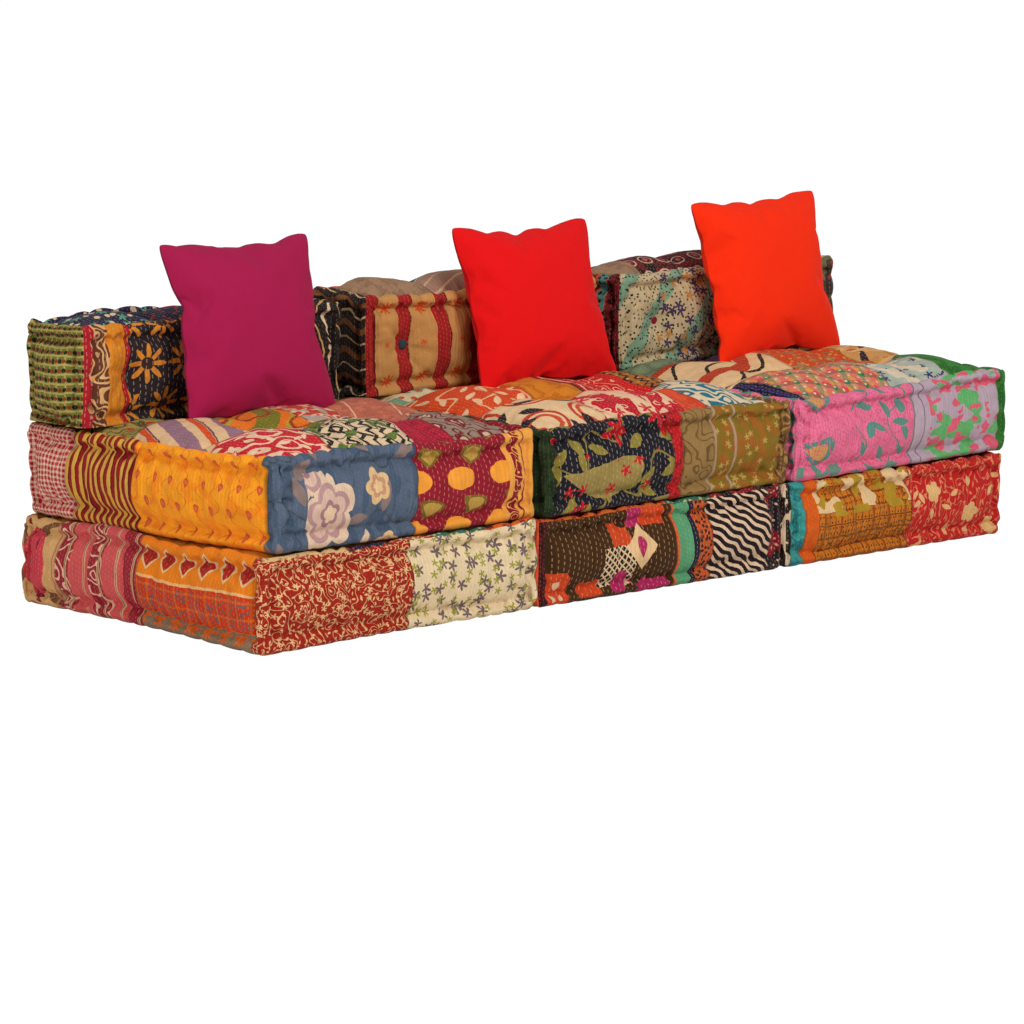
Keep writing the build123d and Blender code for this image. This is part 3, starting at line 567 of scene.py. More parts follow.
@dataclass(frozen=True)
class Printer:
    """Draws motifs as masks over a flat place whose repeat is one unit."""

    tree: Tree
    ring_width: float = 0.035
    wave_bend: float = 0.16
    vine_bend: float = 0.24
    paisley_lean: float = 0.8

    def cell(self, x: Socket, y: Socket) -> tuple[bpy.types.NodeSocket, bpy.types.NodeSocket]:
        """The place within a half-drop repeat, from -0.5 to 0.5 each way.

        Args:
            x: the place along the repeat.
            y: the place up the repeat.

        Returns:
            The place along and up its own cell.
        """
        t = self.tree
        shifted = t.math("MULTIPLY_ADD", t.math("FLOOR", y), 0.5, x)
        return t.math("SUBTRACT", t.math("FRACT", shifted), 0.5), t.math("SUBTRACT", t.math("FRACT", y), 0.5)

    def radius(self, x: Socket, y: Socket) -> bpy.types.NodeSocket:
        """The distance from the middle: the root of x squared plus y squared."""
        t = self.tree
        return t.math("SQRT", t.math("MULTIPLY_ADD", x, x, t.math("MULTIPLY", y, y)))

    def scattered(self, x: Socket, y: Socket, seed: float) -> tuple[bpy.types.NodeSocket, ...]:
        """The place about the nearest of many scattered points, turned at random, and the distance to it.

        Args:
            x: the place along the repeat.
            y: the place up the repeat.
            seed: moves the points.

        Returns:
            The turned place along and up, and the distance.
        """
        t = self.tree
        moved = {0: t.math("ADD", x, seed * 7.3), 1: t.math("ADD", y, seed * 3.1)}
        vector = t.node("ShaderNodeCombineXYZ", moved).outputs[0]
        points = t.node("ShaderNodeTexVoronoi", {"Vector": vector, "Scale": 1.0}, voronoi_dimensions="2D").outputs
        offset = t.node("ShaderNodeVectorMath", {0: vector, 1: points["Position"]}, operation="SUBTRACT")
        angle = t.math("MULTIPLY", t.parts(points["Color"])[0], 2 * pi)
        return (*t.turned(offset.outputs[0], angle), points["Distance"])

    def petals(self, x: Socket, y: Socket, size: float, count: int) -> bpy.types.NodeSocket:
        """A flower: nearer the middle than a radius that swells with the cosine of count times the angle.

        Args:
            x: the place along from its middle.
            y: the place up from its middle.
            size: its longest radius.
            count: its petals.

        Returns:
            1 on the flower and 0 off it.
        """
        t = self.tree
        wave = t.math("COSINE", t.math("MULTIPLY", t.math("ARCTAN2", y, x), float(count)))
        return t.below(self.radius(x, y), t.math("MULTIPLY_ADD", wave, size * 0.36, size * 0.64))

    def noise(self, x: Socket, y: Socket, seed: float, detail: float = 2.0) -> bpy.types.NodeSocket:
        """Smooth noise over the place.

        Args:
            x: the place along the repeat.
            y: the place up the repeat.
            seed: moves the noise.
            detail: how many finer layers it has.

        Returns:
            The noise, from 0 to 1.
        """
        t = self.tree
        vector = t.node("ShaderNodeCombineXYZ", {0: x, 1: y, 2: seed}).outputs[0]
        return t.node("ShaderNodeTexNoise", {"Vector": vector, "Scale": 1.0, "Detail": detail}).outputs[0]

    def mask(self, motif: Motif, x: Socket, y: Socket, size: float, seed: float) -> Socket:
        """Draws one motif.

        Args:
            motif: which motif.
            x: the place along the repeat.
            y: the place up the repeat.
            size: the motif's share of the repeat.
            seed: moves the motif, or the scatter behind it.

        Returns:
            1 on the motif and 0 off it.
        """
        t = self.tree
        if motif is Motif.FLOOD:
            return 1.0
        if motif is Motif.BLOTCH:
            return t.below(self.noise(x, y, seed), 0.34 + size * 0.3)
        if motif is Motif.CURL:
            return t.below(t.math("FRACT", t.math("MULTIPLY", self.noise(x, y, seed, 1.0), 9.0)), size)
        if motif in (Motif.SPECK, Motif.SCATTER, Motif.BLOOM, Motif.LEAF):
            return self.strewn(motif, *self.scattered(x, y, seed), size)
        x = t.math("ADD", x, seed)
        if motif is Motif.STRIPE:
            return t.below(t.math("FRACT", x), size)
        if motif in (Motif.CHECK, Motif.NET):
            columns = t.below(t.math("FRACT", x), size)
            rows = t.below(t.math("FRACT", y), size)
            if motif is Motif.NET:
                return t.math("MAXIMUM", columns, rows)
            return t.math("MULTIPLY", t.math("ADD", columns, rows), 0.5)
        if motif is Motif.WAVE:
            bend = t.math("MULTIPLY", t.math("SINE", t.math("MULTIPLY", y, pi)), self.wave_bend)
            return t.below(t.math("FRACT", t.math("ADD", x, bend)), size)
        if motif is Motif.ZIGZAG:
            return t.below(t.math("FRACT", t.math("ADD", x, t.math("PINGPONG", y, 0.5))), size)
        if motif is Motif.VINE:
            bend = t.math("MULTIPLY", t.math("SINE", t.math("MULTIPLY", y, 2 * pi)), self.vine_bend)
            middle = t.math("SUBTRACT", t.math("FRACT", t.math("ADD", x, bend)), 0.5)
            return t.below(t.math("ABSOLUTE", middle), size * 0.5)
        return self.repeated(motif, *self.cell(x, y), size)

    def strewn(self, motif: Motif, across: Socket, up: Socket, away: Socket, size: float) -> Socket:
        """Draws one motif about a scattered point.

        A bloom's edge swells with the absolute cosine of two and a half times the angle, which the distance
        turns. A leaf is as wide as 1 less the square of the way along it.

        Args:
            motif: which motif.
            across: the place along the motif from the point.
            up: the place up it.
            away: the distance from the point.
            size: the motif's share of the repeat.

        Returns:
            1 on the motif and 0 off it.
        """
        t = self.tree
        if motif is Motif.SPECK:
            return t.below(away, size)
        if motif is Motif.SCATTER:
            return self.petals(across, up, size, 5)
        if motif is Motif.BLOOM:
            angle = t.math("ARCTAN2", up, across)
            turn = t.math("MULTIPLY_ADD", angle, 2.5, t.math("MULTIPLY", away, 1.2 / size))
            swell = t.math("ABSOLUTE", t.math("COSINE", turn))
            return t.below(away, t.math("MULTIPLY_ADD", swell, size * 0.3, size * 0.7))
        along = t.math("DIVIDE", across, size)
        width = t.math("MULTIPLY", t.math("SUBTRACT", 1.0, t.math("MULTIPLY", along, along)), size * 0.4)
        return t.below(t.math("ABSOLUTE", up), width)

    def repeated(self, motif: Motif, across: Socket, up: Socket, size: float) -> Socket:
        """Draws one motif in the middle of its cell.

        A paisley is as wide as the rise times the root of what is left of it, and leans with the square of
        the way up.

        Args:
            motif: which motif.
            across: the place along the cell.
            up: the place up it.
            size: the motif's share of the cell.

        Returns:
            1 on the motif and 0 off it.
        """
        t = self.tree
        if motif is Motif.DOT:
            return t.below(self.radius(across, up), size)
        if motif is Motif.RING:
            return t.below(t.math("ABSOLUTE", t.math("SUBTRACT", self.radius(across, up), size)), self.ring_width)
        if motif is Motif.DIAMOND:
            return t.below(t.math("ADD", t.math("ABSOLUTE", across), t.math("ABSOLUTE", up)), size)
        if motif is Motif.FLOWER:
            return self.petals(across, up, size, 8)
        rise = t.math("MULTIPLY_ADD", up, 0.5 / size, 0.5, clamp=True)
        left_over = t.math("SQRT", t.math("SUBTRACT", 1.0, rise))
        width = t.math("MULTIPLY", t.math("MULTIPLY", rise, left_over), size * 1.7)
        bent = t.math("ADD", across, t.math("MULTIPLY", t.math("MULTIPLY", up, up), self.paisley_lean))
        return t.below(t.math("ABSOLUTE", bent), width)


@dataclass
class Dyer:
    """Makes each cloth's material once and hands it out by name.

    wear and yarn are how many waves a metre the broad and the fine unevenness have, drift is how far a print
    wanders in metres, seam_width how near to a seam the cloth is darkened with painted shade for the seam's
    groove, and relief the depth of the bump, of which yarn, dash, tuck and seam have their shares. A dash's width
    and its gap are shares of its row and step, dash_step is the step over the row, and dash_shift how far the
    next row's dashes lie from its own.
    """

    wear: float = 38.0
    yarn: float = 420.0
    drift: float = 0.007
    seam_width: float = 0.004
    relief: float = 0.0014
    yarn_relief: float = 0.3
    dash_relief: float = 0.5
    tuck_relief: float = 1.6
    seam_relief: float = 1.4
    dash_width: float = 0.075
    dash_length: float = 0.55
    dash_step: float = 1.1
    dash_shift: float = 0.37
    made: dict[str, bpy.types.Material] = field(default_factory=dict)

    def material(self, name: str) -> bpy.types.Material:
        """Gives a cloth's material, made the first time that it is asked for.

        Args:
            name: the cloth's name.

        Returns:
            Its material.
        """
        if name not in self.made:
            self.made[name] = self.dye(name, CLOTHS[name])
        return self.made[name]

    def dye(self, name: str, cloth: Cloth) -> bpy.types.Material:
        """Writes a cloth as nodes: ground, prints, fading, running stitch, seams with painted shade, weave and
        sheen.

        Args:
            name: the material's name.
            cloth: the cloth.

        Returns:
            The new material.
        """
        material = bpy.data.materials.new(name)
        t = Tree(material)
        printer = Printer(t)
        x, y = t.parts(t.node("ShaderNodeUVMap", uv_map=PATTERN_UV).outputs[0])
        soft = printer.noise(t.math("MULTIPLY", x, self.wear), t.math("MULTIPLY", y, self.wear), 0.0)
        slack = t.math("MULTIPLY", t.math("SUBTRACT", soft, 0.5), self.drift)
        x = t.math("ADD", x, slack)
        y = t.math("SUBTRACT", y, slack)
        ageing = AGEING if cloth.prints else UNAGED
        colour = self.printed(t, cloth, x, y, ageing)
        fine = printer.noise(t.math("MULTIPLY", x, self.yarn), t.math("MULTIPLY", y, self.yarn), 1.0, 3.0)
        colour = self.faded(t, colour, soft, fine, cloth.fade)
        height: Socket = t.math("MULTIPLY", fine, self.yarn_relief)
        if cloth.rows:
            dash, tuck = self.stitch(t, x, y, cloth.rows)
            colour = t.mix(t.math("MULTIPLY", dash, cloth.show), colour, linear(cloth.thread, ageing))
            height = t.math("ADD", height, t.math("MULTIPLY_ADD", dash, self.dash_relief, tuck))
        seam = t.node("ShaderNodeAttribute", attribute_name=SEAM).outputs["Fac"]
        open_cloth = t.math("DIVIDE", seam, self.seam_width, clamp=True)
        # Painted shade: within seam_width of a seam the colour goes halfway towards near-black, for the shade in
        # the seam's groove; the bump below sinks the groove itself.
        colour = t.mix(open_cloth, t.mix(0.5, colour, PAINTED_SEAM_SHADE), colour)
        height = t.math("MULTIPLY_ADD", open_cloth, self.seam_relief, height)
        bump = t.node("ShaderNodeBump", {"Height": height, "Strength": 0.8, "Distance": self.relief})
        shader = t.node("ShaderNodeBsdfPrincipled", {
            "Base Color": colour, "Roughness": cloth.rough, "Normal": bump.outputs[0], "Specular IOR Level": 0.14,
            "Sheen Weight": 0.02, "Sheen Roughness": 0.5, "Sheen Tint": (1.0, 0.96, 0.92, 1.0)})
        t.node("ShaderNodeOutputMaterial", {0: shader.outputs[0]})
        return material

    def printed(self, t: Tree, cloth: Cloth, x: Socket, y: Socket, ageing: tuple[float, float, float]) -> Socket:
        """Lays a cloth's prints over its ground, one after the other.

        Args:
            t: the tree.
            cloth: the cloth.
            x: the place along the patch, in metres.
            y: the place up it.
            ageing: what the cloth keeps of its red, green and blue.

        Returns:
            The printed colour.
        """
        place = t.node("ShaderNodeCombineXYZ", {0: x, 1: y}).outputs[0]
        colour: Socket = linear(cloth.ground, ageing)
        for layer in cloth.prints:
            start = t.node("ShaderNodeVectorMath", {0: place, 1: (*layer.move, 0.0)}, operation="SUBTRACT")
            across, up = t.turned(start.outputs[0], radians(layer.turn))
            across = t.math("DIVIDE", across, layer.pitch)
            up = t.math("DIVIDE", up, layer.pitch * layer.stretch)
            mask = Printer(t).mask(layer.motif, across, up, layer.size, layer.seed)
            for number, edge in enumerate(layer.band or ()):
                along = y if layer.level or number > 1 else x
                inside = t.math("LESS_THAN" if number % 2 else "GREATER_THAN", along, edge)
                mask = t.math("MULTIPLY", mask, inside)
            colour = t.mix(mask, colour, linear(layer.colour, ageing))
        return colour

    def twine(self) -> bpy.types.Material:
        """Gives the ties' twine, made the first time: slanting strands over the piece's own coordinates.

        Returns:
            The twine's material.
        """
        if "twine" not in self.made:
            strand_width = 0.0015
            material = self.made["twine"] = bpy.data.materials.new("twine")
            t = Tree(material)
            split = t.node("ShaderNodeSeparateXYZ", {0: t.node("ShaderNodeTexCoord").outputs["Object"]}).outputs
            slant = t.math("ADD", t.math("ADD", split[0], split[1]), split[2])
            strand = t.math("PINGPONG", t.math("DIVIDE", slant, strand_width), 0.5)
            colour = t.mix(t.math("MULTIPLY", strand, 2.0), linear((150, 136, 108)), linear((200, 188, 160)))
            bump = t.node("ShaderNodeBump", {"Height": strand, "Strength": 0.8, "Distance": 0.0006}).outputs[0]
            shader = t.node("ShaderNodeBsdfPrincipled", {"Base Color": colour, "Roughness": 0.9, "Normal": bump})
            t.node("ShaderNodeOutputMaterial", {0: shader.outputs[0]})
        return self.made["twine"]

    def faded(self, t: Tree, colour: Socket, soft: Socket, fine: Socket, fade: float) -> bpy.types.NodeSocket:
        """Lightens and darkens a colour with the yarn's grain and with broad wear.

        Args:
            t: the tree.
            colour: the colour.
            soft: broad noise.
            fine: fine noise.
            fade: how far the wear goes.

        Returns:
            The worn colour.
        """
        grain = min(fade * 1.1, 0.5)
        shade = t.math("MULTIPLY_ADD", fine, grain, t.math("MULTIPLY_ADD", soft, fade, 1 - grain / 2 - fade / 2))
        return t.node("ShaderNodeHueSaturation", {"Saturation": 1.0, "Value": shade, "Color": colour}).outputs[0]

    def stitch(
            self, t: Tree, x: Socket, y: Socket, rows: float
    ) -> tuple[bpy.types.NodeSocket, bpy.types.NodeSocket]:
        """Rows of running stitch: dashes on each row line, shifted from row to row, and tucks between.

        Args:
            t: the tree.
            x: the place across the rows, in metres.
            y: the place along them.
            rows: the distance between rows.

        Returns:
            1 on a dash, and the height between rows.
        """
        row = t.math("DIVIDE", x, rows)
        number = t.math("FLOOR", row)
        off = t.math("ABSOLUTE", t.math("SUBTRACT", t.math("FRACT", row), 0.5))
        on_row = t.below(off, self.dash_width)
        step = t.math("MULTIPLY_ADD", number, self.dash_shift, t.math("DIVIDE", y, rows * self.dash_step))
        dash = t.math("MULTIPLY", on_row, t.below(t.math("FRACT", step), self.dash_length))
        return dash, t.math("MULTIPLY", off, self.tuck_relief)


def ripple(points: np.ndarray, seed: int, length: float) -> np.ndarray:
    """Smooth seeded noise: the mean of nine sine waves along random ways, each of about the given length.

    Args:
        points: one point a row.
        seed: the seed of the waves.
        length: the mean wave length in metres.

    Returns:
        A value of about -1 to 1 for each point.
    """
    rng = np.random.default_rng(seed)
    ways = rng.normal(size=(9, 3))
    ways /= np.linalg.norm(ways, axis=1, keepdims=True)
    ways *= 2 * pi / (length * rng.uniform(0.6, 1.5, size=(9, 1)))
    return np.sin(points @ ways.T + rng.uniform(0, 2 * pi, 9)).sum(1) / 3.6


def quarter_sine(share: np.ndarray) -> np.ndarray:
    """Rises from 0 to 1 as a quarter of a sine, steep at first."""
    return np.sin(np.clip(share, 0, 1) * pi / 2)


def cell_corners(grid: np.ndarray) -> np.ndarray:
    """Gives each cell of a grid its four corner values, anticlockwise, one cell a row."""
    return np.stack([grid[:-1, :-1], grid[1:, :-1], grid[1:, 1:], grid[:-1, 1:]], -1).reshape(-1, 4)


@dataclass(frozen=True)
class Warp:
    """A handmade unevenness: moves the cloth near a place by an offset that fades as a bell."""

    place: tuple[float, float, float]
    reach: float
    offset: tuple[float, float, float]

    def push(self, points: np.ndarray) -> np.ndarray:
        """Moves points by the offset times e to the minus square of distance over reach."""
        away = ((points - np.array(self.place)) ** 2).sum(1) / self.reach ** 2
        return points + np.exp(-away)[:, None] * np.array(self.offset)


@dataclass
class Lattice:
    """A box whose surface is gridded by lines across its three sides."""

    lines: tuple[np.ndarray, np.ndarray, np.ndarray]

    def __post_init__(self) -> None:
        """Numbers the lattice points that lie on the surface."""
        counts = [len(line) for line in self.lines]
        index = np.indices(counts).reshape(3, -1).T
        last = np.array(counts) - 1
        on = ((index == 0) | (index == last)).any(1)
        self.number = np.full(counts, -1)
        self.number[tuple(index[on].T)] = np.arange(on.sum())
        self.points = np.stack([self.lines[axis][index[on][:, axis]] for axis in range(3)], 1)

    def plane(self, side: Side) -> np.ndarray:
        """The point numbers of one panel, as rows along u and columns along v, read from outside.

        Args:
            side: the panel.

        Returns:
            The numbers, one row for each line across u.
        """
        number = self.number
        return {
            FRONT: number[:, 0, :], REAR: number[::-1, -1, :], LEFT: number[0, ::-1, :],
            RIGHT: number[-1, :, :], TOP: number[:, :, -1], BOTTOM: number[::-1, :, 0],
        }[side]

    def quads(self) -> np.ndarray:
        """Every panel's faces as four point numbers each."""
        return np.concatenate([cell_corners(self.plane(side)) for side in Side])

    def spans(self, side: Side) -> tuple[np.ndarray, np.ndarray]:
        """The distances along u and v of a panel's lines from its lower left corner.

        Args:
            side: the panel.

        Returns:
            The distances along u and along v, in metres.
        """
        across, up = (self.lines[axis] for axis in side.axes)
        if side in (REAR, LEFT, BOTTOM):
            return (across[-1] - across)[::-1], up - up[0]
        return across - across[0], up - up[0]


@dataclass(frozen=True)
class Stuffing:
    """Puffs a cloth shell out by air pressure, with its seams and tufts held.

    slack is how far the cloth shrinks, below 0 where it has some to spare, and cap the furthest that a point
    may move in metres.
    """

    pressure: float = 3.2
    frames: int = 20
    slack: float = -0.03
    cap: float = 0.016

    def puff(self, points: np.ndarray, quads: np.ndarray, held: np.ndarray) -> np.ndarray:
        """Runs Blender's cloth with pressure and no gravity, and caps how far a point moves.

        Args:
            points: the shell's points.
            quads: its faces.
            held: for each point, 1 where it is sewn down and 0 where it is free.

        Returns:
            The moved points.
        """
        mesh = bpy.data.meshes.new("shell")
        mesh.from_pydata(points.tolist(), [], quads.tolist())
        piece = bpy.data.objects.new("shell", mesh)
        bpy.context.scene.collection.objects.link(piece)
        group = piece.vertex_groups.new(name="held")
        for level in np.unique(np.round(held, 2)):
            group.add(np.flatnonzero(np.round(held, 2) == level).tolist(), float(level), "REPLACE")
        cloth = piece.modifiers.new("cloth", "CLOTH")
        weave = {
            "quality": 6, "mass": 0.25, "use_pressure": True, "uniform_pressure_force": self.pressure,
            "shrink_min": self.slack, "vertex_group_mass": "held", "tension_stiffness": 22,
            "compression_stiffness": 12, "shear_stiffness": 6, "bending_stiffness": 0.25, "air_damping": 3}
        for setting, value in weave.items():
            setattr(cloth.settings, setting, value)
        cloth.settings.effector_weights.gravity = 0
        scene = bpy.context.scene
        scene.frame_start = 1
        scene.frame_end = self.frames
        cloth.point_cache.frame_end = self.frames
        for number in range(1, self.frames + 1):
            scene.frame_set(number)
        seen = piece.evaluated_get(bpy.context.evaluated_depsgraph_get()).to_mesh()
        moved = np.zeros(len(points) * 3)
        seen.vertices.foreach_get("co", moved)
        scene.frame_set(1)
        bpy.data.objects.remove(piece)
        bpy.data.meshes.remove(mesh)
        move = moved.reshape(-1, 3) - points
        far = np.linalg.norm(move, axis=1, keepdims=True)
        return points + move * np.minimum(1, self.cap / np.maximum(far, 1e-9))


@dataclass
class BoxCushion:
    """One hand-tufted box cushion: a patchwork cover with rolled edges, its buttons and its filling.

    rows gives each panel's patches from the lowest row up, and rims the strips on its top roll. puffs and
    crown are how far the middles of the sides and of the top stand over the box, and the runs how far in
    from the seam they climb. The tufts are shares of their panel, and pressed is the place and height of what
    stands on the top. pinch, pucker, pleat and crumple are the heights of the cloth's folds in metres, and
    drift how far the whole cover wanders from its true form.
    """

    name: str
    size: tuple[float, float, float]
    place: tuple[float, float, float]
    turn: float
    slot: str
    rows: dict[Side, Rows]
    rims: dict[Side, Columns] = field(default_factory=dict)
    puffs: dict[Side, float] = field(default_factory=dict)
    crown: float = 0.0
    crown_run: float = 0.12
    side_run: float = 0.055
    hills: int = 0
    hill: float = 0.012
    tuft_sides: tuple[Side, Side] = (TOP, BOTTOM)
    tufts: tuple[tuple[float, float], ...] = ()
    tuft_depth: float = 0.04
    tuft_reach: float = 0.11
    under_depth: float = 0.017
    valley: float = 0.007
    buttons: tuple[str, ...] = ("button_teal",)
    warps: tuple[Warp, ...] = ()
    pressed: Optional[tuple[float, float]] = None
    seed: int = 1
    step: float = 0.0105
    fill_step: float = 0.024
    fill_inset: float = 0.027
    roll: float = 0.0165
    crease_at: float = 0.0285
    crease: float = 0.0105
    corner: float = 0.03
    soft_edge: float = 0.03
    sewn_edge: float = 0.012
    pinch: float = 0.0056
    pinch_step: float = 0.058
    pucker: float = 0.0021
    pleat: float = 0.0036
    crumple: float = 0.0012
    drift: tuple[float, float, float] = (0.004, 0.004, 0.0045)
    drift_length: float = 0.34
    sheet: Lattice = field(init=False, repr=False)

    def __post_init__(self) -> None:
        """Grids the cover's box."""
        self.sheet = self.lattice(self.step)

    def line(self, length: float, step: float) -> np.ndarray:
        """Lattice lines along one side: close together over the rolled edge, then even.

        Args:
            length: the side's length.
            step: about how far apart the even lines are.

        Returns:
            The lines' places from the side's middle.
        """
        edge = np.array([0, 0.36, 0.72, 1.04, 1.38, 1.73, 2.15, 2.65]) * self.roll
        count = max(2, int(round((length - 2 * edge[-1]) / step)))
        inner = np.linspace(edge[-1], length - edge[-1], count + 1)
        return np.concatenate([edge[:-1], inner, (length - edge[:-1])[::-1]]) - length / 2

    def lattice(self, step: float) -> Lattice:
        """The cushion's lattice, centred on its middle."""
        return Lattice(tuple(self.line(length, step) for length in self.size))

    def insets(self, rest: np.ndarray) -> np.ndarray:
        """How far each point lies inside the box's six planes, as three columns."""
        return np.maximum(np.array(self.size) / 2 - np.abs(rest), 0)

    def panel(self, first: np.ndarray, second: np.ndarray, puff: float, run: float) -> np.ndarray:
        """The height of a panel over its box plane.

        It goes down round the roll as a circle, has a bell-shaped crease where the roll is sewn, and climbs
        to its puff as the product of two quarter sines, one from each pair of edges.

        Args:
            first: the distances from one pair of edges.
            second: the distances from the other pair.
            puff: the height of its middle.
            run: how far it climbs.

        Returns:
            The heights.
        """
        near = np.minimum(first, second)
        round_in = np.clip(near, self.roll, self.crease_at) - self.roll
        rolled = np.sqrt(self.roll ** 2 - round_in ** 2) - self.roll
        low = sqrt(self.roll ** 2 - (self.crease_at - self.roll) ** 2) - self.roll
        rise = quarter_sine((first - self.crease_at) / run) * quarter_sine((second - self.crease_at) / run)
        sewn = self.crease * np.exp(-(((near - self.crease_at) / 0.0068) ** 2))
        return rolled + (puff - low) * rise - sewn

    def tuft_points(self) -> np.ndarray:
        """The tufts' places across their panel, from its middle."""
        return np.array(self.tufts) * np.array([self.size[axis] for axis in self.tuft_sides[0].axes])

    def tuft_size(self, side: Side) -> tuple[float, float, float]:
        """The depth, radius and valleys of one panel's tufts, which are plainer where they don't show.

        Args:
            side: the panel.

        Returns:
            The bowls' depth and radius, and the valleys' depth.
        """
        if side in (BOTTOM, REAR) or (side is TOP and self.crown < 0.005):
            return self.under_depth, self.tuft_reach * 0.55, 0.0
        return self.tuft_depth, self.tuft_reach, self.valley

    def puff_of(self, side: Side) -> float:
        """How far a panel's middle stands over its box plane."""
        return {TOP: self.crown, BOTTOM: 0.0}.get(side, self.puffs.get(side, 0.002))

    def dent(self, across: np.ndarray, up: np.ndarray, depth: float, reach: float, valley: float) -> np.ndarray:
        """How deep the tufts draw a panel in: a steep bowl at each tuft and soft valleys on the lines between.

        Args:
            across: the places across the panel from its middle.
            up: the same up it.
            depth: the bowls' depth.
            reach: the bowls' radius.
            valley: the valleys' depth.

        Returns:
            The depths.
        """
        middles = self.tuft_points()
        away = np.hypot(across[:, None] - middles[:, 0], up[:, None] - middles[:, 1])
        bowls = depth * np.clip(1 - away / reach, 0, 1) ** 1.7
        nearest_x = np.abs(across[:, None] - np.unique(middles[:, 0])).min(1)
        nearest_y = np.abs(up[:, None] - np.unique(middles[:, 1])).min(1)
        lines = np.exp(-nearest_x / self.soft_edge)
        if len(np.unique(middles[:, 1])) > 1:
            lines = np.maximum(lines, np.exp(-nearest_y / self.soft_edge))
        return np.maximum(bowls.max(1), valley * lines)

    def form(self, rest: np.ndarray) -> np.ndarray:
        """Shapes the box: rolled edges, rounded upright corners, puffed panels and tufts.

        A roll turns the square offset from an inner edge into a round one, by scaling each part by the root
        of 1 less half the other part squared.

        Args:
            rest: the box's own points.

        Returns:
            The shaped points.
        """
        half = np.array(self.size) / 2
        sign = np.where(rest < 0, -1.0, 1.0)
        points = rest.copy()
        inset = self.insets(rest)
        out = np.clip(1 - inset / self.roll, 0, 1)
        flat_out = np.maximum(out[:, 0], out[:, 1])
        for axis in (0, 1):
            offset = out[:, axis] * self.roll * np.sqrt(1 - out[:, 2] ** 2 / 2)
            inner = half[axis] - self.roll
            points[:, axis] = np.where(out[:, axis] > 0, sign[:, axis] * (inner + offset), points[:, axis])
        offset = out[:, 2] * self.roll * np.sqrt(1 - flat_out ** 2 / 2)
        points[:, 2] = np.where(out[:, 2] > 0, sign[:, 2] * (half[2] - self.roll + offset), points[:, 2])
        out = np.clip((np.abs(points) - (half - self.corner)) / self.corner, 0, 1)
        for axis, other in ((0, 1), (1, 0)):
            offset = out[:, axis] * self.corner * np.sqrt(1 - out[:, other] ** 2 / 2)
            inner = half[axis] - self.corner
            points[:, axis] = np.where(out[:, axis] > 0, sign[:, axis] * (inner + offset), points[:, axis])
        for side in Side:
            axis, outward = side.value
            on = (inset[:, axis] < 1e-9) & (rest[:, axis] * outward > 0)
            points[on, axis] += self.heights(rest[on], inset[on], side) * outward
        return points

    def heights(self, rest: np.ndarray, inset: np.ndarray, side: Side) -> np.ndarray:
        """How far one panel stands out: its puff, less its tufts, and on a back's top the hills between tufts.

        The hills are a power of the absolute sine of the way along.

        Args:
            rest: the panel's own points on the box.
            inset: how far they lie inside the box's planes.
            side: the panel.

        Returns:
            The height of each point.
        """
        first, second = (inset[:, axis] for axis in side.axes)
        run = self.crown_run if side is TOP else self.side_run
        height = self.panel(first, second, self.puff_of(side), run)
        edge = quarter_sine((np.minimum(first, second) - self.crease_at) / self.soft_edge)
        if side in self.tuft_sides:
            across, up = (rest[:, axis] for axis in side.axes)
            height = height - self.dent(across, up, *self.tuft_size(side)) * edge
        if side is TOP and self.hills:
            wave = np.abs(np.sin(pi * self.hills * (rest[:, 0] / self.size[0] + 0.5))) ** 0.7
            height = height + self.hill * (wave - 0.6) * edge
        return height

    def held(self, rest: np.ndarray) -> np.ndarray:
        """Where the cloth is sewn down: 1 on the rolls, the underside and the tufts, 0 on the open panels.

        Args:
            rest: the box's own points.

        Returns:
            The share for each point.
        """
        from_edge = np.sort(self.insets(rest), axis=1)[:, 1]
        held = np.clip(1 - (from_edge - self.crease_at) / self.sewn_edge, 0, 1)
        middles = self.tuft_points()
        along, up = self.tuft_sides[0].axes
        away = np.hypot(rest[:, along, None] - middles[:, 0], rest[:, up, None] - middles[:, 1]).min(1)
        held = np.maximum(held, np.clip(1 - (away - self.sewn_edge) / self.sewn_edge, 0, 1))
        held[rest[:, 2] <= -self.size[2] / 2 + 1e-6] = 1
        return held

    def patches(self, side: Side, rolled: bool) -> list[tuple[str, tuple[float, float, float, float]]]:
        """Lists a panel's patches.

        Args:
            side: the panel.
            rolled: whether its top roll is asked for, which may have its own strips.

        Returns:
            Each patch's cloth, and its left, right, lower and upper edges in metres.
        """
        width, rise = (span[-1] for span in self.sheet.spans(side))
        rows = ((1.0, self.rims[side]),) if rolled and side in self.rims else self.rows[side]
        found = []
        low = 0.0
        for top, columns in rows:
            left = 0.0
            for right, cloth in columns:
                found.append((cloth, (left * width, right * width, low * rise, top * rise)))
                left = right
            low = top
        return found

    def owners(
            self, side: Side, u: np.ndarray, v: np.ndarray
    ) -> list[tuple[Side, np.ndarray, np.ndarray, np.ndarray, bool]]:
        """Shares a panel's cells out: a side panel takes those of the top or underside in its rolled edge.

        Args:
            side: the cells' panel.
            u: the distances along it of each cell's four corners.
            v: the same up it.

        Returns:
            For each owner its panel, which cells it owns, the places in its own measure, and whether they
            lie on its top roll.
        """
        if side not in (TOP, BOTTOM):
            return [(side, np.ones(len(u), bool), u, v, False)]
        length, depth, height = self.size
        x = u if side is TOP else length - u
        over = {FRONT: v, REAR: depth - v, LEFT: x, RIGHT: length - x}
        along = {FRONT: x, REAR: length - x, LEFT: depth - v, RIGHT: v}
        gaps = np.stack([places.mean(1) for places in over.values()])
        nearest = np.where(gaps.min(0) > self.crease_at, -1, gaps.argmin(0))
        shares = [(side, nearest == -1, u, v, False)]
        for number, owner in enumerate(over):
            up = height + over[owner] if side is TOP else -over[owner]
            shares.append((owner, nearest == number, along[owner], up, side is TOP))
        return shares

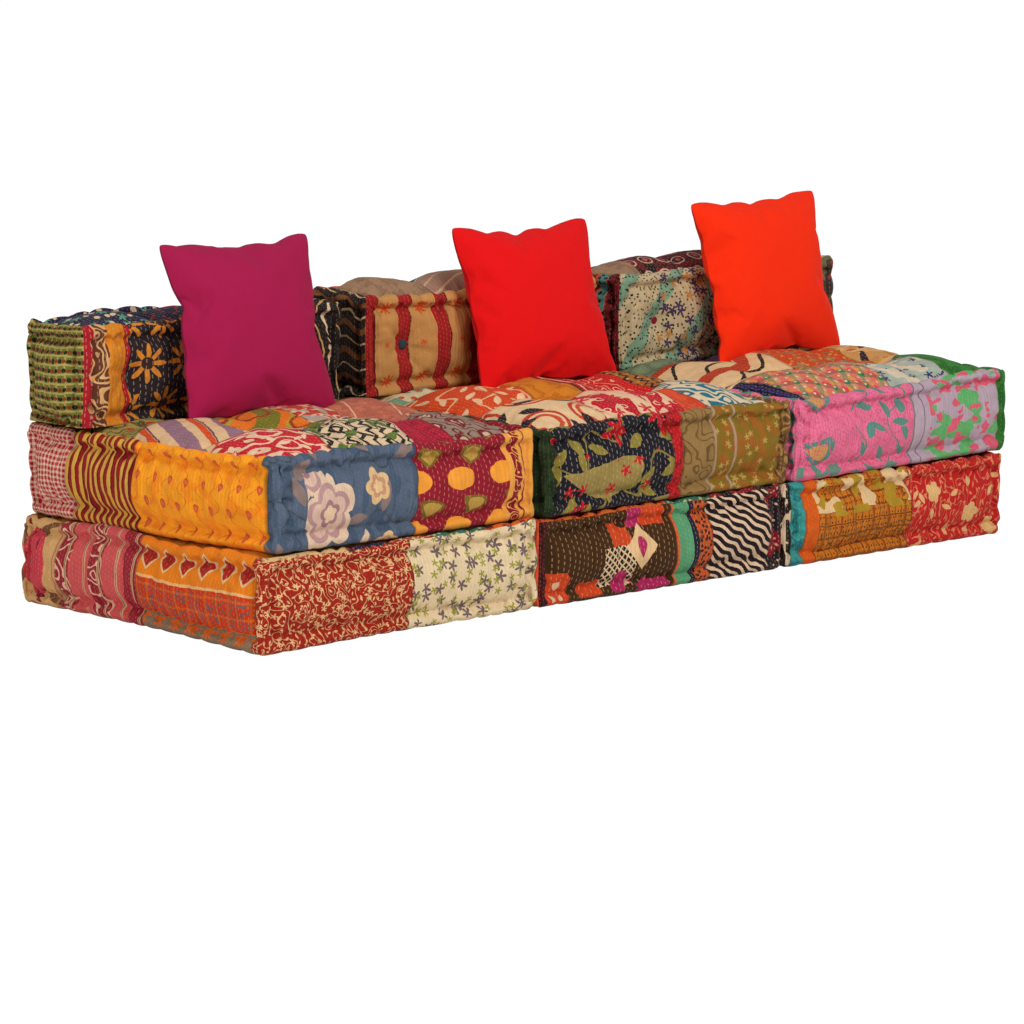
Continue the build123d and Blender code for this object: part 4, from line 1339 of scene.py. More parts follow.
    def cover(self, dyer: Dyer, stuffed: Optional[np.ndarray]) -> bpy.types.Object:
        """Builds the cover.

        Args:
            dyer: gives the cloths' materials.
            stuffed: the moves that stuffing gave the lattice's points, or nothing.

        Returns:
            The cover, in place.
        """
        rest = self.sheet.points
        points = self.form(rest)
        if stuffed is not None:
            points = points + stuffed
        quads, cloths, pattern, atlas, seams = self.cut_patches()
        names, cloth_index = np.unique(cloths, return_inverse=True)
        mesh = bpy.data.meshes.new(f"{self.name}_sheet")
        mesh.from_pydata(points.tolist(), [], quads.tolist())
        for name in names:
            mesh.materials.append(dyer.material(str(name)))
        mesh.polygons.foreach_set("material_index", cloth_index)
        mesh.polygons.foreach_set("use_smooth", np.ones(len(quads), bool))
        mesh.uv_layers.new(name=PATTERN_UV).data.foreach_set("uv", pattern.ravel())
        mesh.uv_layers.new(name=ATLAS_UV).data.foreach_set("uv", atlas.ravel())
        mesh.attributes.new(SEAM, "FLOAT", "CORNER").data.foreach_set("value", seams.ravel())
        mesh.attributes.new(REST, "FLOAT_VECTOR", "POINT").data.foreach_set("vector", rest.ravel())
        piece = bpy.data.objects.new(f"{self.name}_patchwork", mesh)
        bpy.context.scene.collection.objects.link(piece)
        smooth = piece.modifiers.new("smooth", "SUBSURF")
        smooth.levels = smooth.render_levels = 1
        smooth.uv_smooth = "NONE"
        seen = bpy.data.meshes.new_from_object(piece.evaluated_get(bpy.context.evaluated_depsgraph_get()))
        piece.modifiers.clear()
        piece.data = seen
        bpy.data.meshes.remove(mesh)
        seen.name = piece.name
        self.finish_sewing(seen)
        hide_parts(f"{self.name}_cover")
        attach(piece, self.name)
        return piece

    def cut_patches(self) -> tuple[np.ndarray, ...]:
        """Cuts every panel into its patches.

        Returns:
            The faces, each face's cloth, and for each face corner its place on its cloth in metres, its
            place in the atlas, and its distance from the patch's nearest seam.
        """
        length, depth, height = self.size
        gap = 0.01
        across = max(length, depth) + gap
        starts = {
            TOP: (0, 0), BOTTOM: (across, 0),
            FRONT: (0, depth + gap), REAR: (across, depth + gap),
            LEFT: (0, depth + height + 2 * gap), RIGHT: (across, depth + height + 2 * gap)}
        scale = 1 / max(2 * across, depth + 2 * height + 3 * gap)
        quads, cloths, pattern, atlas, seams = [], [], [], [], []
        for side in Side:
            corners = cell_corners(self.sheet.plane(side))
            u, v = (cell_corners(grid) for grid in np.meshgrid(*self.sheet.spans(side), indexing="ij"))
            quads.append(corners)
            atlas.append(np.stack([u + starts[side][0], v + starts[side][1]], -1) * scale)
            cloth_of = np.full(len(corners), "", dtype="U32")
            place = np.zeros((len(corners), 4, 2))
            near = np.ones((len(corners), 4))
            for owner, owned, along, up, rolled in self.owners(side, u, v):
                width, rise = (span[-1] for span in self.sheet.spans(owner))
                middle_u = np.clip(along.mean(1), 0, width)
                middle_v = np.clip(up.mean(1), 0, rise)
                for cloth, (left, right, low, top) in self.patches(owner, rolled):
                    inside = owned & (middle_u >= left) & ((middle_u < right) | (right > width - 1e-6))
                    inside &= (middle_v >= low) & ((middle_v < top) | (top > rise - 1e-6))
                    cloth_of[inside] = cloth
                    place[inside] = np.stack([along - left, up - low], -1)[inside]
                    edges = ((along - left, left > 0), (right - along, right < width - 1e-6),
                             (up - low, low > 0), (top - up, top < rise - 1e-6))
                    for away, sewn in edges:
                        near[inside] = np.minimum(near, away if sewn else 1.0)[inside]
            cloths.append(cloth_of)
            pattern.append(place)
            seams.append(np.maximum(near, 0))
        return tuple(np.concatenate(parts) for parts in (quads, cloths, pattern, atlas, seams))

    def finish_sewing(self, mesh: bpy.types.Mesh) -> None:
        """Pinches the rolls, puckers the panels and pleats the tufts along the normals, then places the mesh.

        Args:
            mesh: the smoothed cover, which still carries its rest points.
        """
        count = len(mesh.vertices)
        points, normals, rest = np.zeros(count * 3), np.zeros(count * 3), np.zeros(count * 3)
        mesh.vertices.foreach_get("co", points)
        mesh.vertex_normals.foreach_get("vector", normals)
        mesh.attributes[REST].data.foreach_get("vector", rest)
        points, normals, rest = (values.reshape(-1, 3) for values in (points, normals, rest))
        mesh.attributes.remove(mesh.attributes[REST])
        points = points + normals * self.sewing(rest)[:, None]
        drift = np.stack([ripple(rest, self.seed * 31 + axis, self.drift_length) for axis in range(3)], 1)
        loose = np.clip((rest[:, 2] + self.size[2] / 2) / self.soft_edge, 0, 1)[:, None]
        points += drift * np.array(self.drift) * loose
        mesh.vertices.foreach_set("co", self.settle(points).ravel())
        mesh.update()

    def sewing(self, rest: np.ndarray) -> np.ndarray:
        """The outward move of each point: the roll's pinches, the puckers beside it and the tufts' pleats.

        A roll's pinches are a power of the absolute sine of the way along it, deepest at the stitches. The
        puckers are finer sines of the same way that fade as they leave the roll. The pleats are sines round
        each tuft that fade with distance.

        Args:
            rest: the cover's rest points.

        Returns:
            The move along the normal at each point.
        """
        inset = self.insets(rest)
        ring = np.minimum(inset[:, 0], inset[:, 1]) + inset[:, 2]
        upright = inset[:, 0] + inset[:, 1]
        along = np.where(inset[:, 0] < inset[:, 1], rest[:, 1], rest[:, 0])
        wander = 0.022 * ripple(rest, self.seed * 17 + 3, 0.2)
        uneven = 1 + 0.6 * ripple(rest, self.seed * 19 + 5, 0.21)
        move = np.zeros(len(rest))
        for number, (gap, way) in enumerate(((ring, along), (upright, rest[:, 2]))):
            wave = np.abs(np.sin(pi * (way + wander) / self.pinch_step)) ** 0.6
            on_roll = np.clip(1.2 - (gap / self.crease_at) ** 3, 0, 1)
            at_stitch = np.exp(-(((gap - self.crease_at) / 0.011) ** 2))
            move += self.pinch * (wave - 0.74) * uneven * (on_roll + 0.8 * at_stitch)
            off = np.maximum(gap - self.crease_at, 0)
            shift = 3 * ripple(rest, self.seed + 60 + number, 0.3)
            folds = np.sin(2 * pi * (way + wander) / (self.pinch_step * 0.5) + shift)
            folds = folds + 0.7 * np.sin(2 * pi * (way - wander) / (self.pinch_step * 0.37))
            reach = np.maximum(0.02 * (1.2 + ripple(rest, self.seed + 70 + number, 0.15)), 0.008)
            move += self.pucker * folds * uneven * np.exp(-off / reach) * (gap > self.crease_at * 0.7)
        above = rest[:, 2] + self.size[2] / 2 - self.sewn_edge
        move *= np.clip(0.35 + above / self.soft_edge, 0.35, 1)
        on_panel = ring > self.crease_at
        axes = self.tuft_sides[0].axes
        for number, middle in enumerate(self.tuft_points()):
            across, up = (rest[:, axis] - place for axis, place in zip(axes, middle))
            away = np.hypot(across, up)
            angle = np.arctan2(up, across) + 0.5 * ripple(rest, self.seed * 13 + number, 0.2)
            pleats = np.sin(angle * 7 + number) + 0.7 * np.sin(angle * 12 + 2 * number)
            move += self.pleat * pleats * np.exp(-away / 0.055) * np.clip((away - 0.008) / 0.02, 0, 1) * on_panel
        return move + self.crumple * ripple(rest, self.seed * 7, 0.06) * on_panel

    def settle(self, points: np.ndarray) -> np.ndarray:
        """Puts points that are centred on the cushion into the frame, after its own warps.

        Args:
            points: the points.

        Returns:
            The points in the frame.
        """
        for warp in self.warps:
            points = warp.push(points)
        angle = radians(self.turn)
        turned = points.copy()
        turned[:, 0] = points[:, 0] * np.cos(angle) - points[:, 1] * np.sin(angle)
        turned[:, 1] = points[:, 0] * np.sin(angle) + points[:, 1] * np.cos(angle)
        turned += np.array(self.place) + np.array([0, 0, self.size[2] / 2])
        turned[:, 2] = np.maximum(turned[:, 2], self.place[2] + 0.0002)
        if self.pressed:
            front, level = self.pressed
            share = np.clip((turned[:, 1] - front) / self.soft_edge + 1, 0, 1)
            turned[:, 2] = np.minimum(turned[:, 2], level + (1 - share) * self.soft_edge)
        return turned

    def moves(self, stuffing: Stuffing) -> np.ndarray:
        """Stuffs the cushion and gives each lattice point's move."""
        points = self.form(self.sheet.points)
        return stuffing.puff(points, self.sheet.quads(), self.held(self.sheet.points)) - points

    def add_buttons(self, dyer: Dyer) -> bpy.types.Object:
        """Makes the cloth buttons that sit in the tufts, on both sides, as one group of closed domes.

        A dome that is mirrored, or whose depth runs along Y, comes out inside out, and both together don't.

        Args:
            dyer: gives the cloths' materials.

        Returns:
            The buttons, in place.
        """
        points, quads, colours = [], [], []
        for number, middle in enumerate(self.tuft_points()):
            for side in sorted(self.tuft_sides, key=lambda panel: -panel.value[1]):
                axis, outward = side.value
                dome, faces = button_dome(self.seed * 5 + number)
                seat = self.size[axis] / 2 + self.puff_of(side) - self.tuft_size(side)[0]
                placed = np.empty_like(dome)
                placed[:, side.axes] = dome[:, :2] + middle
                placed[:, axis] = outward * dome[:, 2] + outward * seat
                inside_out = (outward < 0) != (axis == 1)
                quads.append((faces[:, ::-1] if inside_out else faces) + sum(map(len, points)))
                points.append(placed)
                colours += [number % len(self.buttons)] * len(faces)
        shape = self.settle(np.concatenate(points))
        piece = solid(f"{self.name}_tuft_buttons", shape, np.concatenate(quads))
        for cloth in self.buttons:
            piece.data.materials.append(dyer.material(cloth))
        piece.data.polygons.foreach_set("material_index", np.array(colours))
        lay_flat(piece.data)
        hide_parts(f"{self.name}_buttons")
        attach(piece, self.name)
        return piece

    def add_filling(self, dyer: Dyer) -> bpy.types.Object:
        """Makes the filling, a plainer copy of the cover's form drawn in on all sides.

        Args:
            dyer: gives the cotton.

        Returns:
            The filling, in place.
        """
        sheet = self.lattice(self.fill_step)
        points = self.form(sheet.points) * (1 - 2 * self.fill_inset / np.array(self.size))
        piece = solid(f"{self.name}_filling", self.settle(points), sheet.quads())
        piece.data.materials.append(dyer.material("cotton"))
        lay_flat(piece.data)
        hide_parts(f"{self.name}_fill")
        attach(piece, self.name)
        return piece

    def dress_ties(self, dyer: Dyer) -> None:
        """Gives the ties, which stay as they are in the solids, their twine.

        Args:
            dyer: gives the twine.
        """
        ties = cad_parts[f"{self.name}_ties"]
        ties.data.materials.clear()
        ties.data.materials.append(dyer.twine())


def solid(name: str, points: np.ndarray, quads: np.ndarray) -> bpy.types.Object:
    """Makes a smooth-shaded mesh object from points and faces.

    Args:
        name: the piece's name.
        points: its points in the frame.
        quads: its faces.

    Returns:
        The linked object.
    """
    mesh = bpy.data.meshes.new(name)
    mesh.from_pydata(points.tolist(), [], [list(dict.fromkeys(face)) for face in quads.tolist()])
    mesh.polygons.foreach_set("use_smooth", np.ones(len(mesh.polygons), bool))
    piece = bpy.data.objects.new(name, mesh)
    bpy.context.scene.collection.objects.link(piece)
    return piece


def lay_flat(mesh: bpy.types.Mesh) -> None:
    """Lays a mesh's pattern out by each face's broad way: its two smaller-normal axes, in metres.

    Args:
        mesh: the mesh.
    """
    layer = mesh.uv_layers.get(PATTERN_UV) or mesh.uv_layers.new(name=PATTERN_UV)
    count = len(mesh.loops)
    vertex = np.zeros(count, int)
    mesh.loops.foreach_get("vertex_index", vertex)
    points = np.zeros(len(mesh.vertices) * 3)
    mesh.vertices.foreach_get("co", points)
    points = points.reshape(-1, 3)[vertex]
    normals = np.zeros(len(mesh.polygons) * 3)
    mesh.polygons.foreach_get("normal", normals)
    totals = np.zeros(len(mesh.polygons), int)
    mesh.polygons.foreach_get("loop_total", totals)
    way = np.repeat(np.abs(normals.reshape(-1, 3)).argmax(1), totals)
    u = np.where(way == 0, points[:, 1], points[:, 0])
    v = np.where(way == 2, points[:, 1], points[:, 2])
    layer.data.foreach_set("uv", np.stack([u, v], -1).ravel())
    seam = mesh.attributes.get(SEAM) or mesh.attributes.new(SEAM, "FLOAT", "CORNER")
    seam.data.foreach_set("value", np.full(count, 1.0))


def button_dome(seed: int) -> tuple[np.ndarray, np.ndarray]:
    """A cloth-covered button about Z: a profile turned round, with soft gathers in its rim.

    The profile climbs from a sunk back over a round rim to a low dome, and each ring's radius swells by a
    small sine of eleven times the angle.

    Args:
        seed: turns the gathers.

    Returns:
        The points and the faces.
    """
    radii = np.array([0, 0.006, 0.0098, 0.0112, 0.0108, 0.0094, 0.0068, 0.0035, 0])
    heights = np.array([-0.004, -0.004, -0.0025, 0.0006, 0.0034, 0.0056, 0.0072, 0.008, 0.0082])
    around = np.linspace(0, 2 * pi, 28, endpoint=False)
    gathers = 1 + 0.035 * np.sin(around * 11 + seed) * (radii[:, None] > 0.003)
    x = radii[:, None] * gathers * np.cos(around)
    y = radii[:, None] * gathers * np.sin(around)
    z = np.repeat(heights[:, None], len(around), 1)
    rings = np.stack([x, y, z], -1)[1:-1].reshape(-1, 3)
    poles = np.array([[0, 0, heights[0]], [0, 0, heights[-1]]])
    number = np.zeros((len(radii), len(around) + 1), int)
    number[1:-1, :-1] = 1 + np.arange(len(rings)).reshape(-1, len(around))
    number[1:-1, -1] = number[1:-1, 0]
    number[-1] = 1 + len(rings)
    return np.concatenate([poles[:1], rings, poles[1:]]), cell_corners(number)[:, ::-1]


@dataclass
class ScatterPillow:
    """A plain square pillow: two cloths sewn round the edge and stuffed, leaning on its back cushion.

    lean, turn and tilt are degrees back, about the upright and in its own plane. target and thickness are its
    size when stuffed, nudge moves it off the solid pillow's middle, and draw is the share of the stuffing's
    sideways pull that is kept. loft, waist and crumple shape it before that: how far the cloths are domed
    apart, the share by which its sides are drawn in, and how uneven it lies.
    """

    colour: str
    lean: float
    turn: float
    tilt: float
    seed: int
    target: tuple[float, float]
    nudge: tuple[float, float, float]
    side: float = 0.388
    thickness: float = 0.128
    cells: int = 44
    draw: float = 0.6
    loft: float = 0.012
    waist: float = 0.026
    crumple: float = 0.0015

    @property
    def name(self) -> str:
        """The pillow's name, and its body's."""
        return f"{self.colour}_pillow"

    def grid(self) -> tuple[np.ndarray, np.ndarray, np.ndarray]:
        """Two square grids that share their border, slightly domed apart.

        The dome is the product of 1 less each share squared. A side's ends are drawn in by a sixteenth power
        of the way along it.

        Returns:
            The points, the faces, and for each point its place on the cloth.
        """
        count = self.cells + 1
        share = np.linspace(-1, 1, count)
        u, v = np.meshgrid(share, share, indexing="ij")
        dome = self.loft * (1 - u ** 2) * (1 - v ** 2)
        drawn_in, drawn_up = 1 - self.waist * v ** 16, 1 - self.waist * u ** 16
        flat = np.stack([u * self.side / 2 * drawn_in, v * self.side / 2 * drawn_up], -1)
        front = np.concatenate([flat, dome[..., None]], -1).reshape(-1, 3)
        number = np.arange(count * count).reshape(count, count)
        inner = number[1:-1, 1:-1]
        back_number = number.copy()
        back_number[1:-1, 1:-1] = count * count + np.arange(inner.size).reshape(inner.shape)
        back = np.concatenate([flat, -dome[..., None]], -1)[1:-1, 1:-1].reshape(-1, 3)
        quads = np.concatenate([cell_corners(number), cell_corners(back_number)[:, ::-1]])
        place = np.stack([u, v], -1) * self.side / 2
        places = np.concatenate([place.reshape(-1, 2), place[1:-1, 1:-1].reshape(-1, 2)])
        return np.concatenate([front, back]), quads, places

    def stuffed(self) -> np.ndarray:
        """Returns:
            The stuffed points.
        """
        points, quads, _ = self.grid()
        waves = np.stack([ripple(points, self.seed + axis, 0.09) for axis in range(3)], 1)
        uneven = points + self.crumple * waves
        full = Stuffing(5.0, 34, slack=0.0, cap=0.2).puff(uneven, quads, np.zeros(len(points)))
        return points + (full - points) * np.array([self.draw, self.draw, 1.0])

    def leant(self, points: np.ndarray) -> np.ndarray:
        """Brings the stuffed pillow to its size, leans it back and sets its box's middle by the solid one's.

        Args:
            points: the stuffed points, flat.

        Returns:
            The points in the frame.
        """
        points = points - (points.max(0) + points.min(0)) / 2
        points *= np.array([*self.target, self.thickness]) / (points.max(0) - points.min(0))
        turn, lean, tilt = (
            Euler(angles).to_matrix() for angles in
            ((0, 0, radians(self.turn)), (radians(90 - self.lean), 0, 0), (0, 0, radians(self.tilt))))
        points = points @ np.array(turn @ lean @ tilt).T
        low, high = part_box(f"{self.name}_cover")
        middle = (np.array(low) + np.array(high)) / 2 + np.array(self.nudge)
        return points + (middle - (points.max(0) + points.min(0)) / 2)

    def build(self, dyer: Dyer) -> bpy.types.Object:
        """Builds the pillow's cover in place, and its pad.

        Args:
            dyer: gives the cloth's material.

        Returns:
            The cover.
        """
        _, quads, places = self.grid()
        points = self.leant(self.stuffed())
        mesh = bpy.data.meshes.new(f"{self.name}_slip")
        mesh.from_pydata(points.tolist(), [], quads.tolist())
        mesh.polygons.foreach_set("use_smooth", np.ones(len(quads), bool))
        loops = np.zeros(len(mesh.loops), int)
        mesh.loops.foreach_get("vertex_index", loops)
        mesh.uv_layers.new(name=PATTERN_UV).data.foreach_set("uv", places[loops].ravel())
        # The distance from the edge seam, near which the cloth's material paints shade as for a seam's groove.
        edge = self.side / 2 - np.abs(places).max(1)
        mesh.attributes.new(SEAM, "FLOAT", "CORNER").data.foreach_set("value", edge[loops])
        mesh.materials.append(dyer.material(f"{self.colour}_plain"))
        piece = bpy.data.objects.new(f"{self.name}_slip", mesh)
        bpy.context.scene.collection.objects.link(piece)
        smooth = piece.modifiers.new("smooth", "SUBSURF")
        smooth.levels = smooth.render_levels = 2
        smooth.uv_smooth = "NONE"
        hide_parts(f"{self.name}_cover")
        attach(piece, self.name)
        self.add_pad(points, quads, dyer)
        return piece

    def add_pad(self, points: np.ndarray, quads: np.ndarray, dyer: Dyer) -> None:
        """Makes the pillow's pad: the cover's own form, drawn in towards its middle.

        Args:
            points: the cover's points.
            quads: its faces.
            dyer: gives the cotton.
        """
        middle = (points.max(0) + points.min(0)) / 2
        piece = solid(f"{self.name}_padding", middle + (points - middle) * 0.93, quads)
        piece.data.materials.append(dyer.material("cotton"))
        lay_flat(piece.data)
        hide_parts(f"{self.name}_pad")
        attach(piece, self.name)


@dataclass
class Studio:
    """A white floor, plain soft light and the camera of the photograph.

    The floor shows its own white over its shaded grey by the share floor_show, and sky is the even light.
    """

    eye: tuple[float, float, float] = (-5.2762, -5.7947, 1.3637)
    yaw: float = 41.823
    pitch: float = 9.053
    lens: float = 132.08
    floor_reach: float = 70.0
    floor_grey: float = 0.9
    floor_white: float = 1.125
    floor_show: float = 0.88
    sky: float = 0.42

    def build(self) -> None:
        """Builds the whole studio."""
        self.add_camera()
        self.add_floor()
        self.light_world()
        self.add_lamp("key", (-1.2, -4.6, 4.0), 1.8, 188)
        self.add_lamp("side", (-5.2, -0.6, 2.4), 1.6, 54)
        bpy.context.scene.view_settings.view_transform = "Standard"

    def add_camera(self) -> None:
        """Adds the camera at the photograph's place and lens."""
        data = bpy.data.cameras.new("camera")
        data.lens = self.lens
        data.sensor_width = 36
        data.clip_end = 100
        camera = bpy.data.objects.new("camera", data)
        camera.location = self.eye
        camera.rotation_euler = (radians(90 - self.pitch), 0, radians(-self.yaw))
        bpy.context.scene.collection.objects.link(camera)
        bpy.context.scene.camera = camera

    def add_floor(self) -> None:
        """Adds the floor, which the camera and gloss see as nearly white under a soft shadow."""
        mesh = bpy.data.meshes.new("floor")
        ways = ((-1, -1), (1, -1), (1, 1), (-1, 1))
        corners = [(self.floor_reach * x, self.floor_reach * y, 0) for x, y in ways]
        mesh.from_pydata(corners, [], [(0, 1, 2, 3)])
        floor = bpy.data.objects.new("floor", mesh)
        bpy.context.scene.collection.objects.link(floor)
        material = bpy.data.materials.new("floor")
        t = Tree(material)
        seen = t.looked_at()
        matte = t.node("ShaderNodeBsdfDiffuse", {"Color": (*[self.floor_grey] * 3, 1.0)}).outputs[0]
        white = t.node("ShaderNodeEmission", {"Color": WHITE, "Strength": self.floor_white}).outputs[0]
        mixed = t.node("ShaderNodeMixShader", {0: t.math("MULTIPLY", seen, self.floor_show), 1: matte, 2: white})
        t.node("ShaderNodeOutputMaterial", {0: mixed.outputs[0]})
        mesh.materials.append(material)

    def light_world(self) -> None:
        """Lights the world evenly, and shows it white to the camera and in gloss."""
        world = bpy.data.worlds.new("world")
        bpy.context.scene.world = world
        t = Tree(world)
        seen = t.looked_at()
        light = t.node("ShaderNodeBackground", {"Color": WHITE, "Strength": self.sky}).outputs[0]
        white = t.node("ShaderNodeBackground", {"Color": WHITE, "Strength": 1.0}).outputs[0]
        mixed = t.node("ShaderNodeMixShader", {0: seen, 1: light, 2: white})
        t.node("ShaderNodeOutputWorld", {0: mixed.outputs[0]})

    def add_lamp(self, name: str, place: tuple[float, float, float], size: float, power: float) -> None:
        """Adds a square lamp that looks at the middle of the seats.

        Args:
            name: the lamp's name.
            place: where it hangs.
            size: its side.
            power: its watts.
        """
        data = bpy.data.lights.new(name, "AREA")
        data.size = size
        data.energy = power
        lamp = bpy.data.objects.new(name, data)
        lamp.location = place
        lamp.rotation_euler = (Vector((0, 0, 0.3)) - Vector(place)).to_track_quat("-Z", "Y").to_euler()
        bpy.context.scene.collection.objects.link(lamp)


def one_row(*columns: tuple[float, str]) -> Rows:
    """One row of patches, each with the share of the way at which it ends."""
    return ((1.0, columns),)


def evenly(*cloths: str) -> Rows:
    """One row of equal patches."""
    return one_row(*(((number + 1) / len(cloths), cloth) for number, cloth in enumerate(cloths)))


MODULES = ("left", "middle", "right")
UNDERSIDE = {BOTTOM: evenly("underside")}
PUFFED = (FRONT, LEFT, RIGHT)
SNUG = -0.001


@dataclass
class PoufSofa:
    """The whole sofa: three modules of base, seat and back, and three scatter pillows.

    shift and seat_turn are how far the seats lie off their bases, and sink how deep the backs press in.
    """

    pitch: float = 0.7
    length: float = 0.6997
    depth: float = 0.74
    base_height: float = 0.18
    seat_floor: float = 0.1803
    back_floor: float = 0.3816
    shift: tuple[float, float] = (0.010, 0.008)
    seat_turn: float = 0.8
    sink: float = 0.012
    thirds: tuple[tuple[float, float], ...] = (
        (-0.167, -0.167), (0.167, -0.167), (-0.167, 0.167), (0.167, 0.167))

    def bases(self) -> list[BoxCushion]:
        """The three base cushions.

        Returns:
            The left, middle and right one.
        """
        rows = {
            "left": {
                FRONT: one_row((0.51, "brick_vine"), (1.0, "sprig_cream")),
                LEFT: one_row(
                    (0.17, "rose_oval"), (0.5, "vine_bands"), (0.96, "bunting"), (1.0, "brick_vine")),
                REAR: evenly("red_strokes", "ochre_block"),
                RIGHT: evenly("sprig_cream", "maroon_dark"),
                TOP: evenly("mustard", "rim_cream")},
            "middle": {
                FRONT: one_row(
                    (0.03, "maroon_dark"), (0.53, "olive_night"), (0.68, "sea_waves"), (0.92, "zebra"),
                    (1.0, "red_black")),
                LEFT: evenly("maroon_dark", "coral"),
                REAR: evenly("grey_maroon_leaf", "sage_speck"),
                RIGHT: evenly("red_black", "turquoise"),
                TOP: evenly("coral", "sage")},
            "right": {
                FRONT: one_row(
                    (0.018, "black_white"), (0.08, "turquoise"), (0.545, "ochre_block"), (1.0, "red_strokes")),
                LEFT: evenly("turquoise", "black_white"),
                REAR: evenly("maroon_stripes", "blue_batik"),
                RIGHT: evenly("red_strokes", "tan_navy", "crimson"),
                TOP: evenly("mustard", "crimson")},
        }
        rims = {
            "left": {FRONT: (
                (0.3, "rim_cream"), (0.46, "rim_navy"), (0.6, "brick_vine"), (0.8, "rim_teal"),
                (1.0, "rim_orange"))},
            "middle": {FRONT: ((0.52, "rim_orange"), (0.7, "rim_teal"), (1.0, "red_black"))},
            "right": {},
        }
        warps = {
            "left": (
                Warp((-0.35, -0.37, -0.09), 0.2, (-0.016, -0.022, 0.0)),
                Warp((-0.36, 0.36, -0.03), 0.2, (-0.02, 0.022, 0.0))),
            "middle": (),
            "right": (Warp((0.35, -0.37, 0.03), 0.2, (-0.007, -0.004, 0.0)),),
        }
        puffs = ((0.006, 0.008, SNUG), (0.007, SNUG, SNUG), (0.008, SNUG, 0.005))
        return [BoxCushion(
            f"{name}_base", (self.length, self.depth, self.base_height),
            ((number - 1) * self.pitch, 0.0, 0.0), 0.0,
            "patchwork_base", rows[name] | UNDERSIDE, rims[name], dict(zip(PUFFED, puffs[number])),
            tufts=self.thirds, tuft_depth=0.017, buttons=("button_olive", "button_red"), warps=warps[name],
            seed=11 + number)
            for number, name in enumerate(MODULES)]

    def seats(self) -> list[BoxCushion]:
        """The three seat cushions.

        Returns:
            The left, middle and right one.
        """
        rows = {
            "left": {
                FRONT: one_row((0.53, "blue_blooms"), (1.0, "maroon_dots")),
                LEFT: one_row(
                    (0.2, "red_check"), (0.47, "maroon_stripes"), (0.95, "saffron_sprig"), (1.0, "blue_blooms")),
                REAR: evenly("crimson", "tan_zigzag"),
                RIGHT: evenly("maroon_dots", "green_print"),
                TOP: (
                    (0.29, (
                        (0.26, "red_white_leaf"), (0.57, "black_white_leaf"), (0.72, "crimson"),
                        (0.94, "grey_maroon_leaf"), (1.0, "dark_green"))),
                    (0.6, (
                        (0.24, "lilac_stripe"), (0.46, "olive_orange"), (0.64, "grey_red_leaf"),
                        (0.93, "dusty_rose"), (1.0, "rim_teal"))),
                    (1.0, ((0.3, "green_print"), (0.62, "orange_leaf"), (1.0, "tan_zigzag"))))},
            "middle": {
                FRONT: one_row(
                    (0.03, "dark_green"), (0.5, "night_vine"), (0.55, "red_strip"), (0.95, "olive_brocade"),
                    (1.0, "brown_roll")),
                LEFT: evenly("dark_green"),
                REAR: evenly("mustard", "navy_teal"),
                RIGHT: evenly("brown_roll", "olive_brocade"),
                TOP: (
                    (0.3, (
                        (0.3, "cream_black_leaf"), (0.61, "crimson_flowers"), (0.69, "coral"),
                        (1.0, "blue_batik"))),
                    (0.63, ((0.37, "orange_leaf"), (0.5, "mustard"), (0.76, "red_border"), (1.0, "tan_zigzag"))),
                    (1.0, ((0.27, "teal_white"), (0.62, "orange_floral"), (1.0, "sage"))))},
            "right": {
                FRONT: one_row((0.55, "pink_fronds"), (0.95, "lavender_blotch"), (1.0, "green_plain")),
                LEFT: evenly("brown_roll", "pink_fronds"),
                REAR: evenly("sage_speck", "brick_vine"),
                RIGHT: evenly("green_plain", "grey_red_leaf", "lilac_stripe"),
                TOP: (
                    (0.28, (
                        (0.1, "navy_strip"), (0.5, "bright_check"), (0.77, "sky_navy"), (1.0, "green_plain"))),
                    (0.62, ((0.42, "cream_bands"), (0.73, "orange_floral"), (1.0, "tan_navy"))),
                    (1.0, ((0.3, "sage"), (0.6, "lilac"), (1.0, "tan_navy"))))},
        }
        warps = {
            "left": (
                Warp((-0.35, -0.37, 0.0), 0.2, (0.02, -0.012, 0.0)),
                Warp((-0.3, -0.37, 0.09), 0.18, (0.0, 0.0, 0.011)),
                Warp((-0.35, 0.36, 0.05), 0.2, (-0.012, 0.012, 0.0)),
                Warp((0.35, 0.27, 0.0), 0.18, (-0.016, 0.0, 0.0))),
            "middle": (
                Warp((-0.35, -0.37, 0.0), 0.2, (0.0, -0.006, 0.0)),
                Warp((0.35, -0.37, 0.05), 0.2, (0.018, -0.006, -0.003))),
            "right": (
                Warp((-0.35, -0.37, 0.05), 0.2, (0.018, -0.006, -0.003)),
                Warp((0.35, -0.3, 0.08), 0.2, (0.017, 0.0, 0.008))),
        }
        puffs = ((0.006, 0.008, SNUG), (0.007, SNUG, SNUG), (0.006, SNUG, 0.008))
        return [BoxCushion(
            f"{name}_seat", (self.length, self.depth, self.base_height),
            ((number - 1) * self.pitch + self.shift[0], self.shift[1], self.seat_floor), self.seat_turn,
            "patchwork_seat", rows[name] | UNDERSIDE, {}, dict(zip(PUFFED, puffs[number])), 0.019,
            tufts=self.thirds, buttons=("button_teal", "button_red", "button_olive"), warps=warps[name],
            pressed=(0.175, self.back_floor - self.sink), seed=21 + number)
            for number, name in enumerate(MODULES)]

